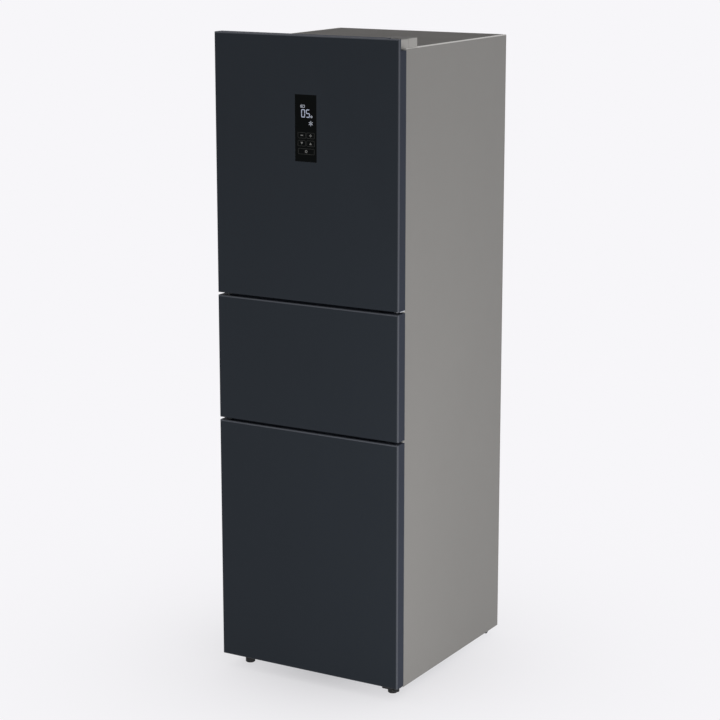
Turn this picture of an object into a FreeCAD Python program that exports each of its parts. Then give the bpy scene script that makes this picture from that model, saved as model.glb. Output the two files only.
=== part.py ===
import FreeCAD, Part
import Sketcher
import os
import re

# A three-door refrigerator in millimetres: +X right, +Y back, +Z up, floor centre at the origin

SIZES = {
    # Doors
    "door_width": 544,
    "door_depth": 40,
    "door_gap": 7,
    "door_bottom": 36,
    "lower_door_height": 660.5,
    "middle_door_height": 332,
    "upper_door_height": 680.5,
    "door_rise": 26,
    "panel_depth": 6,
    "door_sheet": 1.5,
    "panel_bevel": 4.5,
    "frame_wall": 3,
    "cap_height": 18,
    "door_liner_wall": 3,
    "door_liner_inset": 2,
    "grip_left": 24,
    "grip_right": 70,
    "grip_lip": 4,
    "grip_depth": 20,
    "grip_height": 12,
    "notch_play": 6,
    "notch_lip": 10,
    "notch_drop": 3,
    "dyke_inset": 11,
    "dyke_width": 25,
    "dyke_reach": 15,
    "dyke_wall": 3,
    "seal_gap": 13,
    "seal_width": 14,
    "seal_side": 24,
    "seal_edge": 4,
    "seal_roof": 12,
    "seal_foot": 10,
    "seal_clearance": 0.3,
    # Control panel
    "control_width": 64,
    "control_height": 170,
    "control_centre": 233,
    "control_offset": 3,
    "control_thickness": 2,
    "control_recess": 0.2,
    "board_thickness": 4,
    "board_margin": 3,
    # Door balconies
    "balcony_wall": 3,
    "balcony_play": 0.5,
    "balcony_reach": 85,
    "balcony_height": 72,
    "bottle_height": 96,
    "bottle_level": 28,
    "middle_balcony_level": 225,
    "upper_balcony_level": 400,
    "lug_width": 13,
    "lug_height": 8,
    # Cabinet shell
    "side_inset": 10,
    "cabinet_depth": 557,
    "base_height": 24,
    "sheet": 1.2,
    "panel_lip": 18,
    "panel_round": 2.5,
    "top_roll": 8,
    "back_margin": 8,
    "bead_width": 24,
    "bead_pitch": 130,
    "bead_rise": 1,
    "base_return": 30,
    # Insulation and liners
    "side_insulation": 45,
    "top_insulation": 46,
    "back_insulation": 55,
    "floor_insulation": 46,
    "step_insulation": 40,
    "mullion_height": 48,
    "rail_height": 32,
    "rail_play": 0.8,
    "liner_wall": 2,
    "ledge_width": 12,
    "ledge_height": 6,
    # Machine bay
    "bay_depth": 200,
    "bay_height": 190,
    "plate_thickness": 2,
    "plate_margin": 6,
    "compressor_radius": 68,
    "compressor_height": 148,
    "compressor_x": 95,
    "compressor_setback": 100,
    "foot_plate_length": 168,
    "foot_plate_width": 104,
    "foot_plate_thickness": 3,
    "mount_radius": 11,
    "mount_height": 14,
    "mount_inset": 14,
    "tray_width": 150,
    "tray_height": 16,
    "tray_wall": 2,
    "coil_radius": 2.5,
    "coil_half_width": 150,
    "coil_pitch": 110,
    "coil_rise": 160,
    "coil_pocket": 6,
    "coil_margin": 12,
    "coil_bend": 12,
    "coil_play": 0.3,
    "slot_length": 44,
    "slot_height": 7,
    "slot_pitch_x": 62,
    "slot_pitch_z": 22,
    "inlet_width": 28,
    "inlet_height": 22,
    "inlet_depth": 20,
    "inlet_bore": 4,
    "inlet_plate": 48,
    "inlet_level": 120,
    # Feet and rollers
    "foot_radius": 13,
    "foot_inset": 37,
    "foot_setback": 11,
    "foot_play": 0.5,
    "stud_radius": 4,
    "stud_reach": 14,
    "stud_room": 1,
    "roller_radius": 11.5,
    "roller_width": 14,
    "roller_inset": 31,
    "roller_setback": 22,
    "axle_radius": 3,
    "ear_thickness": 2,
    "ear_radius": 7,
    "ear_play": 1,
    # Hinges
    "hinge_inset": 18,
    "hinge_reach": 23.5,
    "pin_radius": 4,
    "pin_play": 0.05,
    "pin_depth": 13,
    "pin_room": 1,
    "bracket_thickness": 4,
    "bracket_length": 50,
    "bracket_back": 36,
    "bracket_nose": 9,
    "shoulder_radius": 7,
    "shoulder_play": 0.5,
    "arm_thickness": 4,
    "arm_length": 62,
    "flange_end": 14,
    "flange_play": 0.5,
    "flange_thickness": 3,
    "hinge_thickness": 3,
    "hinge_back": 50,
    "top_arm_reach": 16,
    "top_arm_land": 6,
    "cover_length": 66,
    "cover_setback": 14,
    "cover_back": 58,
    "cover_height": 23.5,
    "cover_wall": 1.5,
    "nose_reach": 20,
    "nose_front": 10,
    "nose_inset": 1,
    "nose_drop": 1,
    "screw_radius": 2.5,
    "screw_head": 4.5,
    "screw_head_height": 2.5,
    # Cold side
    "evaporator_space": 64,
    "evaporator_half_width": 150,
    "evaporator_depth": 44,
    "evaporator_height": 150,
    "evaporator_level": 30,
    "fin_thickness": 1.5,
    "tube_radius": 4,
    "cover_plate": 3,
    "vent_length": 70,
    "vent_height": 8,
    "fan_radius": 46,
    "fan_hole": 51,
    "fan_drop": 92,
    "fan_hub": 16,
    "fan_depth": 18,
    "fan_gap": 5,
    "blade_thickness": 2.5,
    "fan_shaft": 2,
    "fan_motor_radius": 20,
    "duct_width": 130,
    "duct_depth": 14,
    "duct_margin": 26,
    "lamp_width": 110,
    "lamp_depth": 32,
    "lamp_height": 8,
    "lamp_setback": 130,
    # Storage
    "shelf_setback": 112,
    "shelf_thickness": 4,
    "shelf_play": 1,
    "trim_depth": 8,
    "trim_height": 12,
    "drawer_wall": 3,
    "drawer_front": 8,
    "drawer_play": 4,
    "drawer_clearance": 0.4,
    "drawer_setback": 40,
    "drawer_back_room": 6,
    "drawer_grip_width": 120,
    "drawer_grip_depth": 22,
    "crisper_height": 165,
    "middle_headroom": 66,
    "freezer_headroom": 28,
    "freezer_drawer_gap": 12,
}

doc = FreeCAD.newDocument("refrigerator")
sheet = doc.addObject("Spreadsheet::Sheet", "Sizes")
for row, (alias, size) in enumerate(SIZES.items(), start=1):
    sheet.set(f"A{row}", alias)
    sheet.set(f"B{row}", str(size))
    sheet.setAlias(f"B{row}", alias)
doc.recompute()

# Planes and levels that several pieces share, as expressions of the sizes
DOOR_HALF = "(door_width / 2)"
HALF = f"({DOOR_HALF} - side_inset)"
BACK = "((cabinet_depth + seal_gap + door_depth) / 2)"
FRONT = f"(-{BACK})"
DOOR_BACK = f"({FRONT} + door_depth)"
FRAME_FRONT = f"({FRONT} + panel_depth)"
FRAME_BACK = f"({DOOR_BACK} - door_liner_wall)"
FACE = f"({DOOR_BACK} + seal_gap)"
LOWER_TOP = "(door_bottom + lower_door_height)"
MIDDLE_BOTTOM = f"({LOWER_TOP} + door_gap)"
MIDDLE_TOP = f"({MIDDLE_BOTTOM} + middle_door_height)"
UPPER_BOTTOM = f"({MIDDLE_TOP} + door_gap)"
UPPER_TOP = f"({UPPER_BOTTOM} + upper_door_height)"
ROOF = f"({UPPER_TOP} - door_rise)"
LOWER_GAP = f"({LOWER_TOP} + door_gap / 2)"
UPPER_GAP = f"({MIDDLE_TOP} + door_gap / 2)"
INNER = f"({HALF} - side_insulation)"
CAVITY_BACK = f"({BACK} - back_insulation)"
BAY_FRONT = f"({BACK} - bay_depth)"
BAY_TOP = "(base_height + bay_height)"
STEP_FRONT = f"({BAY_FRONT} - step_insulation)"
STEP_TOP = f"({BAY_TOP} + step_insulation)"
FRIDGE = (f"({UPPER_GAP} + mullion_height / 2)", f"({ROOF} - top_insulation)")
MIDDLE = (f"({LOWER_GAP} + mullion_height / 2)", f"({UPPER_GAP} - mullion_height / 2)")
FREEZER = ("(base_height + floor_insulation)", f"({LOWER_GAP} - mullion_height / 2)")
PIN_X = f"({DOOR_HALF} - hinge_inset)"
PIN_Y = f"({FACE} - hinge_reach)"
NOTCH_FLOOR = f"({ROOF} - notch_drop)"
FOOT_X = f"({HALF} - foot_inset)"
FOOT_Y = f"({FACE} + foot_setback)"
BRACKET_LOW = "(base_height - bracket_thickness)"
EVAPORATOR_FRONT = f"({CAVITY_BACK} - evaporator_space)"

AXIS_TURNS = {
    "x": FreeCAD.Rotation(FreeCAD.Vector(0, 1, 0), 90),
    "y": FreeCAD.Rotation(FreeCAD.Vector(1, 0, 0), -90),
    "z": FreeCAD.Rotation(),
}
nodes = []


def bound(text):
    """Put the sheet's name before each size in an expression."""
    return re.sub(
        r"[a-z_]+",
        lambda word: f"Sizes.{word.group()}" if word.group() in SIZES else word.group(),
        text,
    )


def size_of(alias):
    """Read one size from the sheet."""
    return float(sheet.get(alias))


def bind(thing, prop, text):
    """Tie a property to an expression of the sizes."""
    thing.setExpression(prop, bound(text))


def span(low, length):
    """A range that starts at one expression and is another expression long."""
    return (low, f"{low} + {length}")


def across(half):
    """A range that is symmetric about the middle plane."""
    return (f"-({half})", half)


def about(middle, width):
    """A range of one width about a middle."""
    return (f"{middle} - ({width}) / 2", f"{middle} + ({width}) / 2")


def mirrored_range(limits):
    """The same range on the other side of the middle plane."""
    return (f"-({limits[1]})", f"-({limits[0]})")


def block(name, x, y, z):
    """A box between two expressions along each axis."""
    solid = doc.addObject("Part::Box", name)
    for side, axis, (low, high) in zip(("Length", "Width", "Height"), "xyz", (x, y, z)):
        bind(solid, side, f"({high}) - ({low})")
        bind(solid, f"Placement.Base.{axis}", low)
    return solid


def rod(name, axis, centre, radius, limits):
    """A cylinder along an axis, about a centre in the other two axes."""
    solid = doc.addObject("Part::Cylinder", name)
    solid.Placement.Rotation = AXIS_TURNS[axis]
    low, high = limits
    bind(solid, "Radius", radius)
    bind(solid, "Height", f"({high}) - ({low})")
    bind(solid, f"Placement.Base.{axis}", low)
    for other, place in zip("xyz".replace(axis, ""), centre):
        bind(solid, f"Placement.Base.{other}", place)
    return solid


def merged(name, *solids):
    """Several touching solids as one."""
    fusion = doc.addObject("Part::MultiFuse", name)
    fusion.Shapes = list(solids)
    fusion.Refine = True
    return fusion


def carved(name, base, *tools):
    """A solid with the tools taken out of it."""
    cut = doc.addObject("Part::Cut", name)
    cut.Base = base
    cut.Tool = tools[0] if len(tools) == 1 else together(f"{name}_tools", *tools)
    cut.Refine = True
    return cut


def together(name, *solids):
    """Separate solids that share one object."""
    group = doc.addObject("Part::Compound", name)
    group.Links = list(solids)
    return group


def mirrored(name, source):
    """The same solid on the other side of the middle plane."""
    copy = doc.addObject("Part::Mirroring", name)
    copy.Source = source
    copy.Normal = FreeCAD.Vector(1, 0, 0)
    return copy


def ring(name, x, y, z, width):
    """A rectangular frame that faces along Y, with bars of one width."""
    outside = block(f"{name}_outside", x, y, z)
    room = (f"{x[0]} + {width}", f"{x[1]} - ({width})")
    height = (f"{z[0]} + {width}", f"{z[1]} - ({width})")
    return carved(name, outside, block(f"{name}_inside", room, y, height))


def rounded(name, base, radius, wanted):
    """Round the edges whose box and whose solid's box satisfy a test."""
    doc.recompute()
    fillet = doc.addObject("Part::Fillet", name)
    fillet.Base = base
    whole = base.Shape.BoundBox
    fillet.Edges = [
        (index, radius, radius)
        for index, edge in enumerate(base.Shape.Edges, start=1)
        if wanted(edge.BoundBox, whole)
    ]
    return fillet


def sketched(body, plane, name, points):
    """A closed outline in a body's origin plane, each corner tied to two expressions."""
    sketch = body.newObject("Sketcher::SketchObject", name)
    origin = [item for item in body.Origin.OriginFeatures if plane in item.Name]
    sketch.AttachmentSupport = (origin[0], [""])
    sketch.MapMode = "FlatFace"
    count = len(points)
    for index in range(count):
        start = FreeCAD.Vector(10 + index, index * index, 0)
        end = FreeCAD.Vector(11 + index, (index + 1) ** 2, 0)
        sketch.addGeometry(Part.LineSegment(start, end), False)
    for index in range(count):
        sketch.addConstraint(Sketcher.Constraint("Coincident", index, 2, (index + 1) % count, 1))
    for index, corner in enumerate(points):
        for kind, text in zip("XY", corner):
            number = sketch.addConstraint(
                Sketcher.Constraint(f"Distance{kind}", -1, 1, index, 1, 1.0 + index)
            )
            name_of = f"{kind.lower()}_{index}"
            sketch.renameConstraint(number, name_of)
            bind(sketch, f"Constraints.{name_of}", text)
    return sketch


def turned(name, points, place):
    """A body of revolution about its own Z axis, from radius and height pairs."""
    body = doc.addObject("PartDesign::Body", name)
    sketch = sketched(body, "XZ", f"{name}_profile", points)
    revolution = body.newObject("PartDesign::Revolution", f"{name}_turned")
    revolution.Profile = sketch
    revolution.ReferenceAxis = (sketch, ["V_Axis"])
    revolution.Angle = 360
    for axis, text in zip("xyz", place):
        bind(body, f"Placement.Base.{axis}", text)
    return body


def node(label, thing):
    """Hand a finished piece in under its own name."""
    thing.Label = label
    nodes.append((label, thing))
    return thing


def round_front(name, base, radius):
    """Round the edges of a block's front face."""
    return rounded(name, base, radius, lambda edge, whole: edge.YMax < whole.YMin + 0.001)


# Doors: each has a front panel, a frame, a foam core, an inner liner and a gasket
def grip(name, door, edge, inward):
    """The finger recess in a door frame's cap, behind its front lip."""
    reach = f"{edge} {inward} grip_height"
    limits = (edge, reach) if inward == "+" else (reach, edge)
    return block(
        f"{door}_{name}",
        (f"-{DOOR_HALF} + grip_left", f"{DOOR_HALF} - grip_right"),
        span(f"{FRAME_FRONT} + grip_lip", "grip_depth"),
        limits,
    )


def pin_bore(name, edge, inward):
    """A bore for a hinge pin, from a door's edge inwards."""
    reach = f"{edge} {inward} (pin_depth + pin_room)"
    limits = (edge, reach) if inward == "+" else (reach, edge)
    return rod(name, "z", (PIN_X, PIN_Y), "pin_radius + pin_play", limits)


def make_door(door, low, high, cavity, seal, top_cap, top_edge, cuts, lugs):
    """Build one door's five pieces."""
    wide = across(DOOR_HALF)
    plate = block(f"{door}_plate", wide, (FRONT, FRAME_FRONT), (low, high))
    bevelled = round_front(f"{door}_bevelled", plate, size_of("panel_bevel"))
    behind = (
        across(f"{DOOR_HALF} - door_sheet"),
        (f"{FRONT} + door_sheet", FRAME_FRONT),
        (f"{low} + door_sheet", f"{high} - door_sheet"),
    )
    inner_bevel = size_of("panel_bevel") - size_of("door_sheet")
    pan_room = round_front(f"{door}_pan_hollow", block(f"{door}_pan_room", *behind), inner_bevel)
    panel = carved(f"{door}_pan", bevelled, pan_room)
    inside = (f"{low} + cap_height", f"{high} - ({top_cap})")
    between = across(f"{DOOR_HALF} - frame_wall")
    shell = block(f"{door}_shell", wide, (FRAME_FRONT, FRAME_BACK), (low, high))
    core = block(f"{door}_core", between, (FRAME_FRONT, FRAME_BACK), inside)
    bores = [
        pin_bore(f"{door}_low_bore", low, "+"),
        pin_bore(f"{door}_high_bore", top_edge, "-"),
    ]
    frame = carved(f"{door}_hollow_frame", shell, core, *bores, *cuts)

    dyke_x = across(f"{INNER} - dyke_inset")
    dyke_z = (f"{cavity[0]} + dyke_inset", f"{cavity[1]} - dyke_inset")
    dyke = ring(
        f"{door}_dyke", dyke_x, (DOOR_BACK, f"{FACE} + dyke_reach"), dyke_z, "dyke_width"
    )
    skin = block(
        f"{door}_skin",
        across(f"{DOOR_HALF} - door_liner_inset"),
        (FRAME_BACK, DOOR_BACK),
        (f"{low} + door_liner_inset", f"{top_edge} - door_liner_inset"),
    )
    filling = ring(
        f"{door}_filling",
        across(f"{INNER} - dyke_inset - dyke_wall"),
        (FRAME_BACK, f"{FACE} + dyke_reach - dyke_wall"),
        (f"{dyke_z[0]} + dyke_wall", f"{dyke_z[1]} - dyke_wall"),
        "(dyke_width - 2 * dyke_wall)",
    )
    shaped = merged(f"{door}_formed", skin, dyke, *lugs)
    liner = carved(f"{door}_formed_liner", shaped, filling)
    fill_core = block(f"{door}_fill", between, (FRAME_FRONT, FRAME_BACK), inside)
    fill_front = round_front(f"{door}_fill_pan", block(f"{door}_fill_front", *behind), inner_bevel)
    foam = merged(f"{door}_whole_foam", fill_front, fill_core, filling)
    gasket = ring(
        f"{door}_seal",
        across(f"{DOOR_HALF} - seal_side"),
        (DOOR_BACK, f"{FACE} - seal_clearance"),
        seal,
        "seal_width",
    )
    return panel, frame, foam, liner, gasket


def hand_in_door(door, pieces):
    """Name a door's five pieces."""
    for part, piece in zip(("panel", "frame", "foam", "liner", "gasket"), pieces):
        node(f"{door}_door_{part}", piece)


hand_in_door(
    "lower",
    make_door(
        "lower",
        "door_bottom",
        LOWER_TOP,
        FREEZER,
        ("door_bottom + seal_foot", f"{LOWER_TOP} - seal_edge"),
        "cap_height",
        LOWER_TOP,
        [grip("grip", "lower", LOWER_TOP, "-")],
        [],
    ),
)
hand_in_door(
    "middle",
    make_door(
        "middle",
        MIDDLE_BOTTOM,
        MIDDLE_TOP,
        MIDDLE,
        (f"{MIDDLE_BOTTOM} + seal_edge", f"{MIDDLE_TOP} - seal_edge"),
        "cap_height",
        MIDDLE_TOP,
        [
            grip("low_grip", "middle", MIDDLE_BOTTOM, "+"),
            grip("high_grip", "middle", MIDDLE_TOP, "-"),
        ],
        [],
    ),
)

# The upper door also carries three balconies, whose lugs stand on the dyke, and the control panel
BALCONY_FLOORS = {
    "bottle": f"({FRIDGE[0]} + dyke_inset + bottle_level)",
    "middle": f"({FRIDGE[0]} + dyke_inset + middle_balcony_level)",
    "upper": f"({FRIDGE[0]} + dyke_inset + upper_balcony_level)",
}
BALCONY_HALF = f"({INNER} - dyke_inset - dyke_width)"
lugs = []
for level, floor in BALCONY_FLOORS.items():
    right_lug = (f"{BALCONY_HALF} - lug_width", BALCONY_HALF)
    for side, limits in (("right", right_lug), ("left", mirrored_range(right_lug))):
        lugs.append(
            block(
                f"{level}_lug_{side}",
                limits,
                (DOOR_BACK, f"{FACE} + dyke_reach"),
                (f"{floor} - lug_height", floor),
            )
        )
notch = block(
    "upper_notch",
    (f"{PIN_X} - nose_reach - notch_play", f"{DOOR_HALF} + 1"),
    (f"{FRONT} + notch_lip", f"{FRAME_BACK} + 1"),
    (NOTCH_FLOOR, f"{UPPER_TOP} + 1"),
)
upper = make_door(
    "upper",
    UPPER_BOTTOM,
    UPPER_TOP,
    FRIDGE,
    (f"{UPPER_BOTTOM} + seal_edge", f"{ROOF} - seal_roof"),
    "cap_height + door_rise + notch_drop",
    NOTCH_FLOOR,
    [grip("grip", "upper", UPPER_BOTTOM, "+"), notch],
    lugs,
)
control_z = about(f"({UPPER_TOP} - control_centre)", "control_height")
control_x = about("control_offset", "control_width")
pocket = block("control_pocket", control_x, span(FRONT, "control_thickness + control_recess"), control_z)
glass = block(
    "control_glass",
    control_x,
    span(f"{FRONT} + control_recess", "control_thickness"),
    control_z,
)
board_x = about("control_offset", "control_width - 2 * board_margin")
board_z = (f"{control_z[0]} + board_margin", f"{control_z[1]} - board_margin")
board_y = span(f"{FRONT} + control_recess + control_thickness", "board_thickness")
board = block("control_circuit", board_x, board_y, board_z)
board_room = block("control_room", board_x, (FRONT, board_y[1]), board_z)
hand_in_door(
    "upper",
    (
        carved("upper_pocketed", upper[0], pocket),
        upper[1],
        carved("upper_foam_pocketed", upper[2], pocket, board_room),
        upper[3],
        upper[4],
    ),
)
node("control_panel", glass)
node("control_board", board)


def open_box(name, x, y, z, wall, front_wall):
    """A box without a lid, with its own front wall thickness."""
    outside = block(f"{name}_outside", x, y, z)
    room = block(
        f"{name}_room",
        (f"{x[0]} + {wall}", f"{x[1]} - {wall}"),
        (f"{y[0]} + {front_wall}", f"{y[1]} - {wall}"),
        (f"{z[0]} + {wall}", f"{z[1]} + 1"),
    )
    return outside, room


for level, floor in BALCONY_FLOORS.items():
    tall = "bottle_height" if level == "bottle" else "balcony_height"
    tray, room = open_box(
        f"{level}_balcony",
        across(f"{BALCONY_HALF} - balcony_play"),
        (DOOR_BACK, f"{FACE} + balcony_reach"),
        span(floor, tall),
        "balcony_wall",
        "balcony_wall",
    )
    node(f"{level}_balcony", carved(f"{level}_balcony_tray", tray, room))

# Cabinet shell: folded side panels, top, back and base sheets
side_outer = block(
    "side_outer", (f"{HALF} - panel_lip", HALF), (FACE, BACK), ("base_height", ROOF)
)
side_rounded = rounded(
    "side_rounded",
    side_outer,
    size_of("panel_round"),
    lambda edge, whole: edge.XMin > whole.XMax - 0.001 and edge.ZMax > whole.ZMin + 0.001,
)
side_inside = block(
    "side_inside",
    (f"{HALF} - panel_lip", f"{HALF} - sheet"),
    (f"{FACE} + sheet", f"{BACK} - sheet"),
    ("base_height", f"{ROOF} - sheet"),
)
side_trim = block(
    "side_trim",
    (f"{HALF} - panel_lip", f"{HALF} - top_roll"),
    (FACE, BACK),
    (f"{ROOF} - sheet", ROOF),
)
right_panel = node("side_panel_right", carved("right_panel", side_rounded, side_inside, side_trim))
node("side_panel_left", mirrored("left_panel", right_panel))

lip_span = across(f"{HALF} - panel_lip")
roof_sheet = block("roof_sheet", across(f"{HALF} - top_roll"), (FACE, BACK), (f"{ROOF} - sheet", ROOF))
roof_return = block("roof_return", lip_span, span(FACE, "sheet"), (f"{ROOF} - panel_lip", ROOF))
node("top_panel", merged("top_sheet", roof_sheet, roof_return))

back_z = (f"{BAY_TOP} + sheet", f"{ROOF} - sheet")
back_sheet = block(
    "back_sheet",
    across(f"{HALF} - back_margin"),
    (f"{BACK} - 2 * sheet", f"{BACK} - sheet"),
    back_z,
)
beads = [
    block(
        f"bead_{index}",
        about(f"({index - 1} * bead_pitch)", "bead_width"),
        span(f"{BACK} - sheet", "bead_rise"),
        (f"{back_z[0]} + 3 * bead_width", f"{back_z[1]} - 3 * bead_width"),
    )
    for index in range(3)
]
node("back_panel", merged("beaded_back", back_sheet, *beads))

pan_x = across(f"{HALF} - sheet")
stud_bore_z = ("base_height - 1", "base_height + stud_reach + stud_room")


def stud_bore(name, side, radius, limits):
    """A hole about one front foot's stud."""
    return rod(name, "z", (f"{side}{FOOT_X}", FOOT_Y), radius, limits)


coil_tail_x = "-coil_half_width"
coil_y = f"({BACK} - 2 * sheet - coil_radius - coil_play)"
coil_cross_z = f"({BAY_TOP} + step_insulation / 2)"
compressor_y = f"({BACK} - compressor_setback)"
compressor_z = "(base_height + plate_thickness + mount_height)"
coil_port_z = f"({compressor_z} + compressor_height / 2)"
pan_holes = [
    stud_bore(f"pan_stud_{name}", side, "stud_radius + stud_room", stud_bore_z)
    for name, side in (("left", "-"), ("right", ""))
]
tail_hole = rod(
    "pan_tail_hole",
    "z",
    (coil_tail_x, compressor_y),
    "coil_radius + coil_play",
    (f"{BAY_TOP} - 1", f"{BAY_TOP} + sheet + 1"),
)
pan = merged(
    "pan_folded",
    block("pan_floor", pan_x, (f"{FACE} + sheet", BAY_FRONT), span("base_height", "sheet")),
    block("pan_riser", pan_x, (f"{BAY_FRONT} - sheet", BAY_FRONT), ("base_height", f"{BAY_TOP} + sheet")),
    block("pan_roof", pan_x, (f"{BAY_FRONT} - sheet", f"{BACK} - sheet"), span(BAY_TOP, "sheet")),
    block("pan_return", lip_span, span(FACE, "sheet"), span("base_height", "base_return")),
)
node("base_pan", carved("pan_drilled", pan, *pan_holes, tail_hole))

# Liners: open to the front, with a flange on the cabinet's face and ledges for shelves and drawers
SHELF_FRONT = f"({FACE} + shelf_setback)"
DUCT_FRONT = f"({CAVITY_BACK} - duct_depth)"
CRISPER_TOP = f"({FRIDGE[0]} + drawer_clearance + crisper_height)"
SHELF_PITCH = f"(({FRIDGE[1]} - lamp_height - {CRISPER_TOP} - ledge_height) / 3)"
SHELVES = [f"({CRISPER_TOP} + ledge_height + {index} * {SHELF_PITCH})" for index in range(3)]
MIDDLE_DRAWER = f"({MIDDLE[1]} - {MIDDLE[0]} - middle_headroom)"
LOWER_DRAWER = f"({STEP_TOP} - {FREEZER[0]} - freezer_drawer_gap)"
UPPER_ROOM = f"({FREEZER[1]} - freezer_headroom - {STEP_TOP})"
UPPER_DRAWER = f"(({UPPER_ROOM} - 2 * freezer_drawer_gap - ledge_height) / 2)"
FREEZER_LEVELS = {
    "lower": FREEZER[0],
    "middle": f"({STEP_TOP} + freezer_drawer_gap)",
    "upper": f"({STEP_TOP} + 2 * freezer_drawer_gap + ledge_height + {UPPER_DRAWER})",
}


def ledges(name, top, y):
    """A pair of ledges on the side walls, below one level."""
    right = (f"{INNER} - ledge_width", INNER)
    return [
        block(f"{name}_{side}", limits, y, (f"{top} - ledge_height", top))
        for side, limits in (("right", right), ("left", mirrored_range(right)))
    ]


def make_liner(name, flange, rooms, ribs):
    """A liner about one or more rooms, with its flange and ribs."""
    solids = [block(f"{name}_flange", lip_span, span(FACE, "liner_wall"), flange)]
    hollows = []
    for index, (y, z) in enumerate(rooms):
        hollows.append(block(f"{name}_room_{index}", across(INNER), y, z))
        solids.append(
            block(
                f"{name}_outer_{index}",
                across(f"{INNER} + liner_wall"),
                (y[0], f"{y[1]} + liner_wall"),
                (f"{z[0]} - liner_wall", f"{z[1]} + liner_wall"),
            )
        )
    opened = carved(f"{name}_opened", merged(f"{name}_outside", *solids), merged_or_one(name, hollows))
    if not ribs:
        return opened
    return merged(f"{name}_ribbed", opened, *ribs)


def merged_or_one(name, solids):
    """One solid as it is, or several as one."""
    return solids[0] if len(solids) == 1 else merged(f"{name}_rooms", *solids)


full_depth = (FACE, CAVITY_BACK)
fridge_ribs = []
for index, level in enumerate(SHELVES):
    fridge_ribs += ledges(f"shelf_ledge_{index}", level, (SHELF_FRONT, CAVITY_BACK))
node(
    "fridge_liner",
    make_liner(
        "fridge",
        (f"{UPPER_GAP} + rail_height / 2", f"{ROOF} - panel_lip"),
        [(full_depth, FRIDGE)],
        fridge_ribs,
    ),
)
node(
    "middle_liner",
    make_liner(
        "chill",
        (f"{LOWER_GAP} + rail_height / 2 + rail_play", f"{UPPER_GAP} - rail_height / 2 - rail_play"),
        [(full_depth, MIDDLE)],
        [],
    ),
)
freezer_rooms = [
    ((FACE, STEP_FRONT), FREEZER),
    ((f"{STEP_FRONT} - liner_wall", CAVITY_BACK), (STEP_TOP, FREEZER[1])),
]
drawer_front_y = f"({FACE} + drawer_setback)"
freezer_ribs = []
for level in ("middle", "upper"):
    freezer_ribs += ledges(
        f"freezer_ledge_{level}", FREEZER_LEVELS[level], (drawer_front_y, EVAPORATOR_FRONT)
    )
node(
    "freezer_liner",
    make_liner(
        "freezer",
        ("base_height + base_return", f"{LOWER_GAP} - rail_height / 2"),
        freezer_rooms,
        freezer_ribs,
    ),
)
rails = [
    block(f"rail_{name}", lip_span, span(FACE, "liner_wall"), about(middle, "rail_height"))
    for name, middle in (("lower", LOWER_GAP), ("upper", UPPER_GAP))
]
node("mullion_rails", together("rails", *rails))

# Cabinet foam fills what the sheets and the liners leave
foam_block = block(
    "foam_block",
    pan_x,
    (f"{FACE} + liner_wall", f"{BACK} - 2 * sheet"),
    ("base_height + sheet", f"{ROOF} - sheet"),
)
grown_x = across(f"{INNER} + liner_wall")
grown_back = f"{CAVITY_BACK} + liner_wall"
foam_tools = [
    block(
        f"foam_room_{name}",
        grown_x,
        (f"{FACE} - 1", y_end),
        (f"{cavity[0]} - liner_wall", f"{cavity[1]} + liner_wall"),
    )
    for name, cavity, y_end in (
        ("fridge", FRIDGE, grown_back),
        ("middle", MIDDLE, grown_back),
        ("freezer", FREEZER, f"{STEP_FRONT} + liner_wall"),
    )
]
foam_tools.append(
    block(
        "foam_room_step",
        grown_x,
        (STEP_FRONT, grown_back),
        (f"{STEP_TOP} - liner_wall", f"{FREEZER[1]} + liner_wall"),
    )
)
foam_tools.append(
    block(
        "foam_bay",
        across(HALF),
        (f"{BAY_FRONT} - sheet", f"{BACK} + 1"),
        ("base_height - 1", f"{BAY_TOP} + sheet"),
    )
)
COIL_RUNS = 8
coil_low = f"({BAY_TOP} + coil_rise)"
foam_tools.append(
    block(
        "foam_coil",
        across("coil_half_width + coil_margin"),
        (f"{BACK} - 2 * sheet - coil_pocket", f"{BACK} + 1"),
        (BAY_TOP, f"{coil_low} + {COIL_RUNS - 1} * coil_pitch + coil_margin"),
    )
)
foam_tools.append(
    block(
        "foam_coil_cross",
        about(coil_tail_x, "2 * coil_margin"),
        (f"{compressor_y} - coil_margin", BACK),
        (BAY_TOP, f"{coil_cross_z} + coil_bend + coil_radius"),
    )
)
foam_tools += [
    stud_bore(f"foam_stud_{name}", side, "stud_radius + stud_room", stud_bore_z)
    for name, side in (("left", "-"), ("right", ""))
]
foam_cutter = merged("foam_cutter", *foam_tools)
node("cabinet_foam", carved("cabinet_fill", foam_block, foam_cutter))

# Condenser coil: one tube from the compressor through the bay's roof, then to and fro behind the back panel
def bent_tube(name, points, bend, radius):
    """A round tube along straight runs, with every corner bent to one radius."""
    edges = []
    start = points[0]
    for before, corner, after in zip(points, points[1:], points[2:]):
        towards = (before - corner).normalize()
        away = (after - corner).normalize()
        first = corner + towards * bend
        last = corner + away * bend
        middle = corner + (towards + away) * (bend * (1 - 0.5**0.5))
        edges.append(Part.LineSegment(start, first).toShape())
        edges.append(Part.Arc(first, middle, last).toShape())
        start = last
    edges.append(Part.LineSegment(start, points[-1]).toShape())
    circle = Part.Circle(points[0], points[1] - points[0], radius)
    tube = doc.addObject("Part::Feature", name)
    tube.Shape = Part.Wire(edges).makePipeShell([Part.Wire([circle.toShape()])], True, False)
    return tube


def marker(name, place):
    """A point whose coordinates are read from three expressions."""
    point = doc.addObject("Part::Vertex", name)
    for axis, text in zip("XYZ", place):
        bind(point, axis, text)
    doc.recompute()
    return FreeCAD.Vector(point.X, point.Y, point.Z)


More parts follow.
